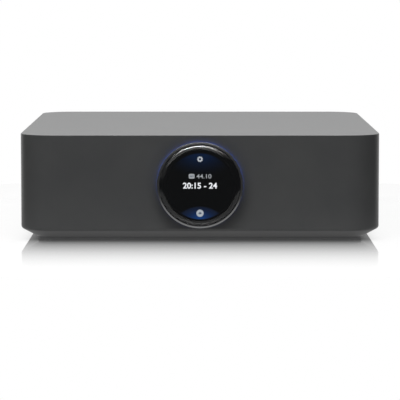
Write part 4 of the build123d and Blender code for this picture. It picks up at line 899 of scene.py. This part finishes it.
def make_rear_marks():
    """Numbers and letters at the phono jacks, letters and signs at the speaker terminals."""
    ink = plastic("print_white", (0.55, 0.55, 0.55), (0.66, 0.66, 0.66), rough=0.6, edge=0.00002)
    y = rear_face + print_gap
    low_z, high_z = jack_heights
    for node, number in (("line_jacks", "1"), ("output_jacks", "2")):
        x = middle_x(node)
        words(f"rear_{node}_number", number, x, high_z + number_rise, number_size, y, ink)
        words(f"rear_{node}_left", "L", x - letter_aside, high_z + letter_off, letter_size, y, ink)
        words(f"rear_{node}_right", "R", x - letter_aside, low_z - letter_off, letter_size, y, ink)
    base_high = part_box("terminal_base")[1]
    for side, letter in (("right", "R"), ("left", "L")):
        words(f"rear_terminal_{side}", letter, middle_x(f"terminal_cap_{side}_plus"),
              base_high.z + terminal_letter_rise, terminal_letter_size, y, ink)
    for sign, text in (("plus", "+"), ("minus", "-")):
        cap_low, cap_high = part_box(f"terminal_cap_left_{sign}")
        words(f"rear_terminal_{sign}", text, middle_x("terminal_base"), (cap_low.z + cap_high.z) / 2,
              sign_size, base_high.y + print_gap, ink, weight=sign_weight)


# Floor, light and camera


def mix_shader(tree, factor, first, second):
    node = tree.nodes.new("ShaderNodeMixShader")
    feed(tree, factor, node.inputs[0])
    tree.links.new(first, node.inputs[1])
    tree.links.new(second, node.inputs[2])
    return node.outputs[0]


def coloured(tree, kind, colour):
    """A plain shader node of one colour."""
    node = tree.nodes.new(kind)
    node.inputs["Color"].default_value = opaque(colour)
    return node


def floor_away(tree):
    """Distance on the floor from the base plate's outline."""
    place = tree.nodes.new("ShaderNodeTexCoord").outputs["Object"]
    split = tree.nodes.new("ShaderNodeSeparateXYZ")
    tree.links.new(place, split.inputs[0])
    low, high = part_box("base_plate")
    squares = []
    for axis, start, end in ((0, low.x, high.x), (1, low.y, high.y)):
        from_middle = math_node(tree, "SUBTRACT", split.outputs[axis], (start + end) / 2)
        straight = (end - start) / 2 - plate_corner
        past = math_node(tree, "SUBTRACT", math_node(tree, "ABSOLUTE", from_middle), straight)
        squares.append(math_node(tree, "POWER", math_node(tree, "MAXIMUM", past, 0.0), 2.0))
    from_corner = math_node(tree, "SQRT", math_node(tree, "ADD", *squares))
    return math_node(tree, "MAXIMUM", math_node(tree, "SUBTRACT", from_corner, plate_corner), 0.0)


def floor_finish():
    """White table: it mirrors the object near it, has a painted shadow under its edge and fades out beyond.
    """
    material = bpy.data.materials.new("floor")
    material.use_nodes = True
    tree = material.node_tree
    tree.nodes.clear()

    def step(operation, a, b=0.0):
        return math_node(tree, operation, a, b)

    away = floor_away(tree)
    seen = tree.nodes.new("ShaderNodeLightPath").outputs["Is Camera Ray"]
    near = step("MAXIMUM", step("SUBTRACT", 1.0, step("DIVIDE", away, mirror_reach)), 0.0)
    mirror = step("MULTIPLY", step("POWER", near, mirror_power), mirror_most)
    share = step("ADD", bounce_mirror, step("MULTIPLY", seen, 1.0 - bounce_mirror))
    # Painted shadow: the floor seen by the camera is darkened near the object's outline
    painted_contact_shadow = step("MULTIPLY", step("EXPONENT", step("DIVIDE", away, -contact_reach)), contact_shade)
    reach = step("ADD", bounce_reach, step("MULTIPLY", seen, mirror_reach - bounce_reach))
    above = step("SUBTRACT", 1.0, tree.nodes.new("ShaderNodeNewGeometry").outputs["Backfacing"])

    def glowing(strength):
        node = coloured(tree, "ShaderNodeEmission", pure_white)
        node.inputs["Strength"].default_value = strength
        return node.outputs[0]

    table = tree.nodes.new("ShaderNodeAddShader")
    tree.links.new(glowing(floor_glow), table.inputs[0])
    lit_white = coloured(tree, "ShaderNodeBsdfDiffuse", (floor_white, floor_white, floor_white))
    tree.links.new(lit_white.outputs[0], table.inputs[1])
    gloss = coloured(tree, "ShaderNodeBsdfGlossy", pure_white)
    gloss.inputs["Roughness"].default_value = 0.0
    black = coloured(tree, "ShaderNodeBsdfDiffuse", pure_black)
    clear = tree.nodes.new("ShaderNodeBsdfTransparent")

    surface = mix_shader(tree, seen, glowing(bounce_glow), table.outputs[0])
    surface = mix_shader(tree, step("MULTIPLY", mirror, share), surface, gloss.outputs[0])
    surface = mix_shader(tree, step("MULTIPLY", painted_contact_shadow, seen), surface, black.outputs[0])
    shown = step("MULTIPLY", step("LESS_THAN", away, reach), above)
    surface = mix_shader(tree, shown, clear.outputs[0], surface)
    output = tree.nodes.new("ShaderNodeOutputMaterial")
    tree.links.new(surface, output.inputs["Surface"])
    return material


def make_floor():
    half = floor_size / 2
    mesh = bpy.data.meshes.new("floor")
    corners = [(-half, -half, 0), (half, -half, 0), (half, half, 0), (-half, half, 0)]
    mesh.from_pydata(corners, [], [(0, 1, 2, 3)])
    mesh.materials.append(floor_finish())
    floor = bpy.data.objects.new("floor", mesh)
    floor.location.z = -floor_drop
    bpy.context.scene.collection.objects.link(floor)


def make_world():
    """White studio: bright overhead, behind and at the left, dim in front for the glass to mirror."""
    world = bpy.data.worlds.new("studio")
    bpy.context.scene.world = world
    world.use_nodes = True
    tree = world.node_tree
    nodes, links = tree.nodes, tree.links
    nodes.clear()
    way = nodes.new("ShaderNodeTexCoord").outputs["Generated"]
    split = nodes.new("ShaderNodeSeparateXYZ")
    links.new(way, split.inputs[0])
    x, y, z = split.outputs

    def step(operation, a, b=0.0):
        return math_node(tree, operation, a, b)

    def fade(value, span, start=0.0, end=1.0):
        """Change smoothly from start to end while the value crosses the span."""
        node = nodes.new("ShaderNodeMapRange")
        node.interpolation_type = "SMOOTHSTEP"
        for socket, number in zip(node.inputs[1:5], (*span, start, end)):
            socket.default_value = number
        links.new(value, node.inputs[0])
        return node.outputs[0]

    def background(strength):
        node = coloured(tree, "ShaderNodeBackground", pure_white)
        feed(tree, strength, node.inputs["Strength"])
        return node.outputs[0]

    behind = step("MULTIPLY", fade(y, behind_span), fade(z, behind_foot, behind_foot_light))
    beside = step("MULTIPLY", fade(x, side_span, 0.0, side_light), fade(z, side_foot))
    bright = step("MAXIMUM", step("MAXIMUM", behind, fade(z, overhead_span)), beside)
    gloss_light = step("ADD", gloss_dark, step("MULTIPLY", bright, 1.0 - gloss_dark))
    path = nodes.new("ShaderNodeLightPath").outputs
    gloss_light = step("MAXIMUM", gloss_light, path["Is Singular Ray"])
    mirrored = step("MAXIMUM", path["Is Glossy Ray"], path["Is Transmission Ray"])
    unseen = mix_shader(tree, mirrored, background(room_light), background(gloss_light))
    surface = mix_shader(tree, path["Is Camera Ray"], unseen, background(1.0))
    output = nodes.new("ShaderNodeOutputWorld")
    links.new(surface, output.inputs["Surface"])


def make_lamp(name, place, size, power):
    """Softbox that faces the object, its long side level with the front."""
    data = bpy.data.lights.new(name, "AREA")
    data.shape = "RECTANGLE"
    data.size, data.size_y = size
    data.energy = power
    lamp = bpy.data.objects.new(name, data)
    lamp.location = place
    towards = Vector((place[0], 0.0, lamp_aim)) - Vector(place)
    lamp.rotation_euler = towards.to_track_quat("-Z", "Y").to_euler()
    lamp.visible_camera = False
    bpy.context.scene.collection.objects.link(lamp)


def make_camera():
    data = bpy.data.cameras.new("camera")
    data.lens = lens_mm
    data.sensor_width = sensor_mm
    data.clip_end = 50.0
    camera = bpy.data.objects.new("camera", data)
    camera.location = camera_place
    camera.rotation_euler = (math.radians(90.0 - camera_pitch), 0.0, 0.0)
    bpy.context.scene.collection.objects.link(camera)
    bpy.context.scene.camera = camera


def make_lamps():
    """Three nested key softboxes, a strip in front and one behind."""
    for i, (size, power) in enumerate(zip(key_sizes, key_powers), start=1):
        make_lamp(f"key_softbox_{i}", Vector(key_place) * (1 - key_step * i), size, power)
    make_lamp("strip_softbox", strip_place, strip_size, strip_power)
    make_lamp("back_softbox", back_place, back_size, back_power)


bpy.context.scene.view_settings.view_transform = "Standard"
make_camera()
make_floor()
make_world()
make_lamps()
paint_everything()
make_display()
make_rear_marks()
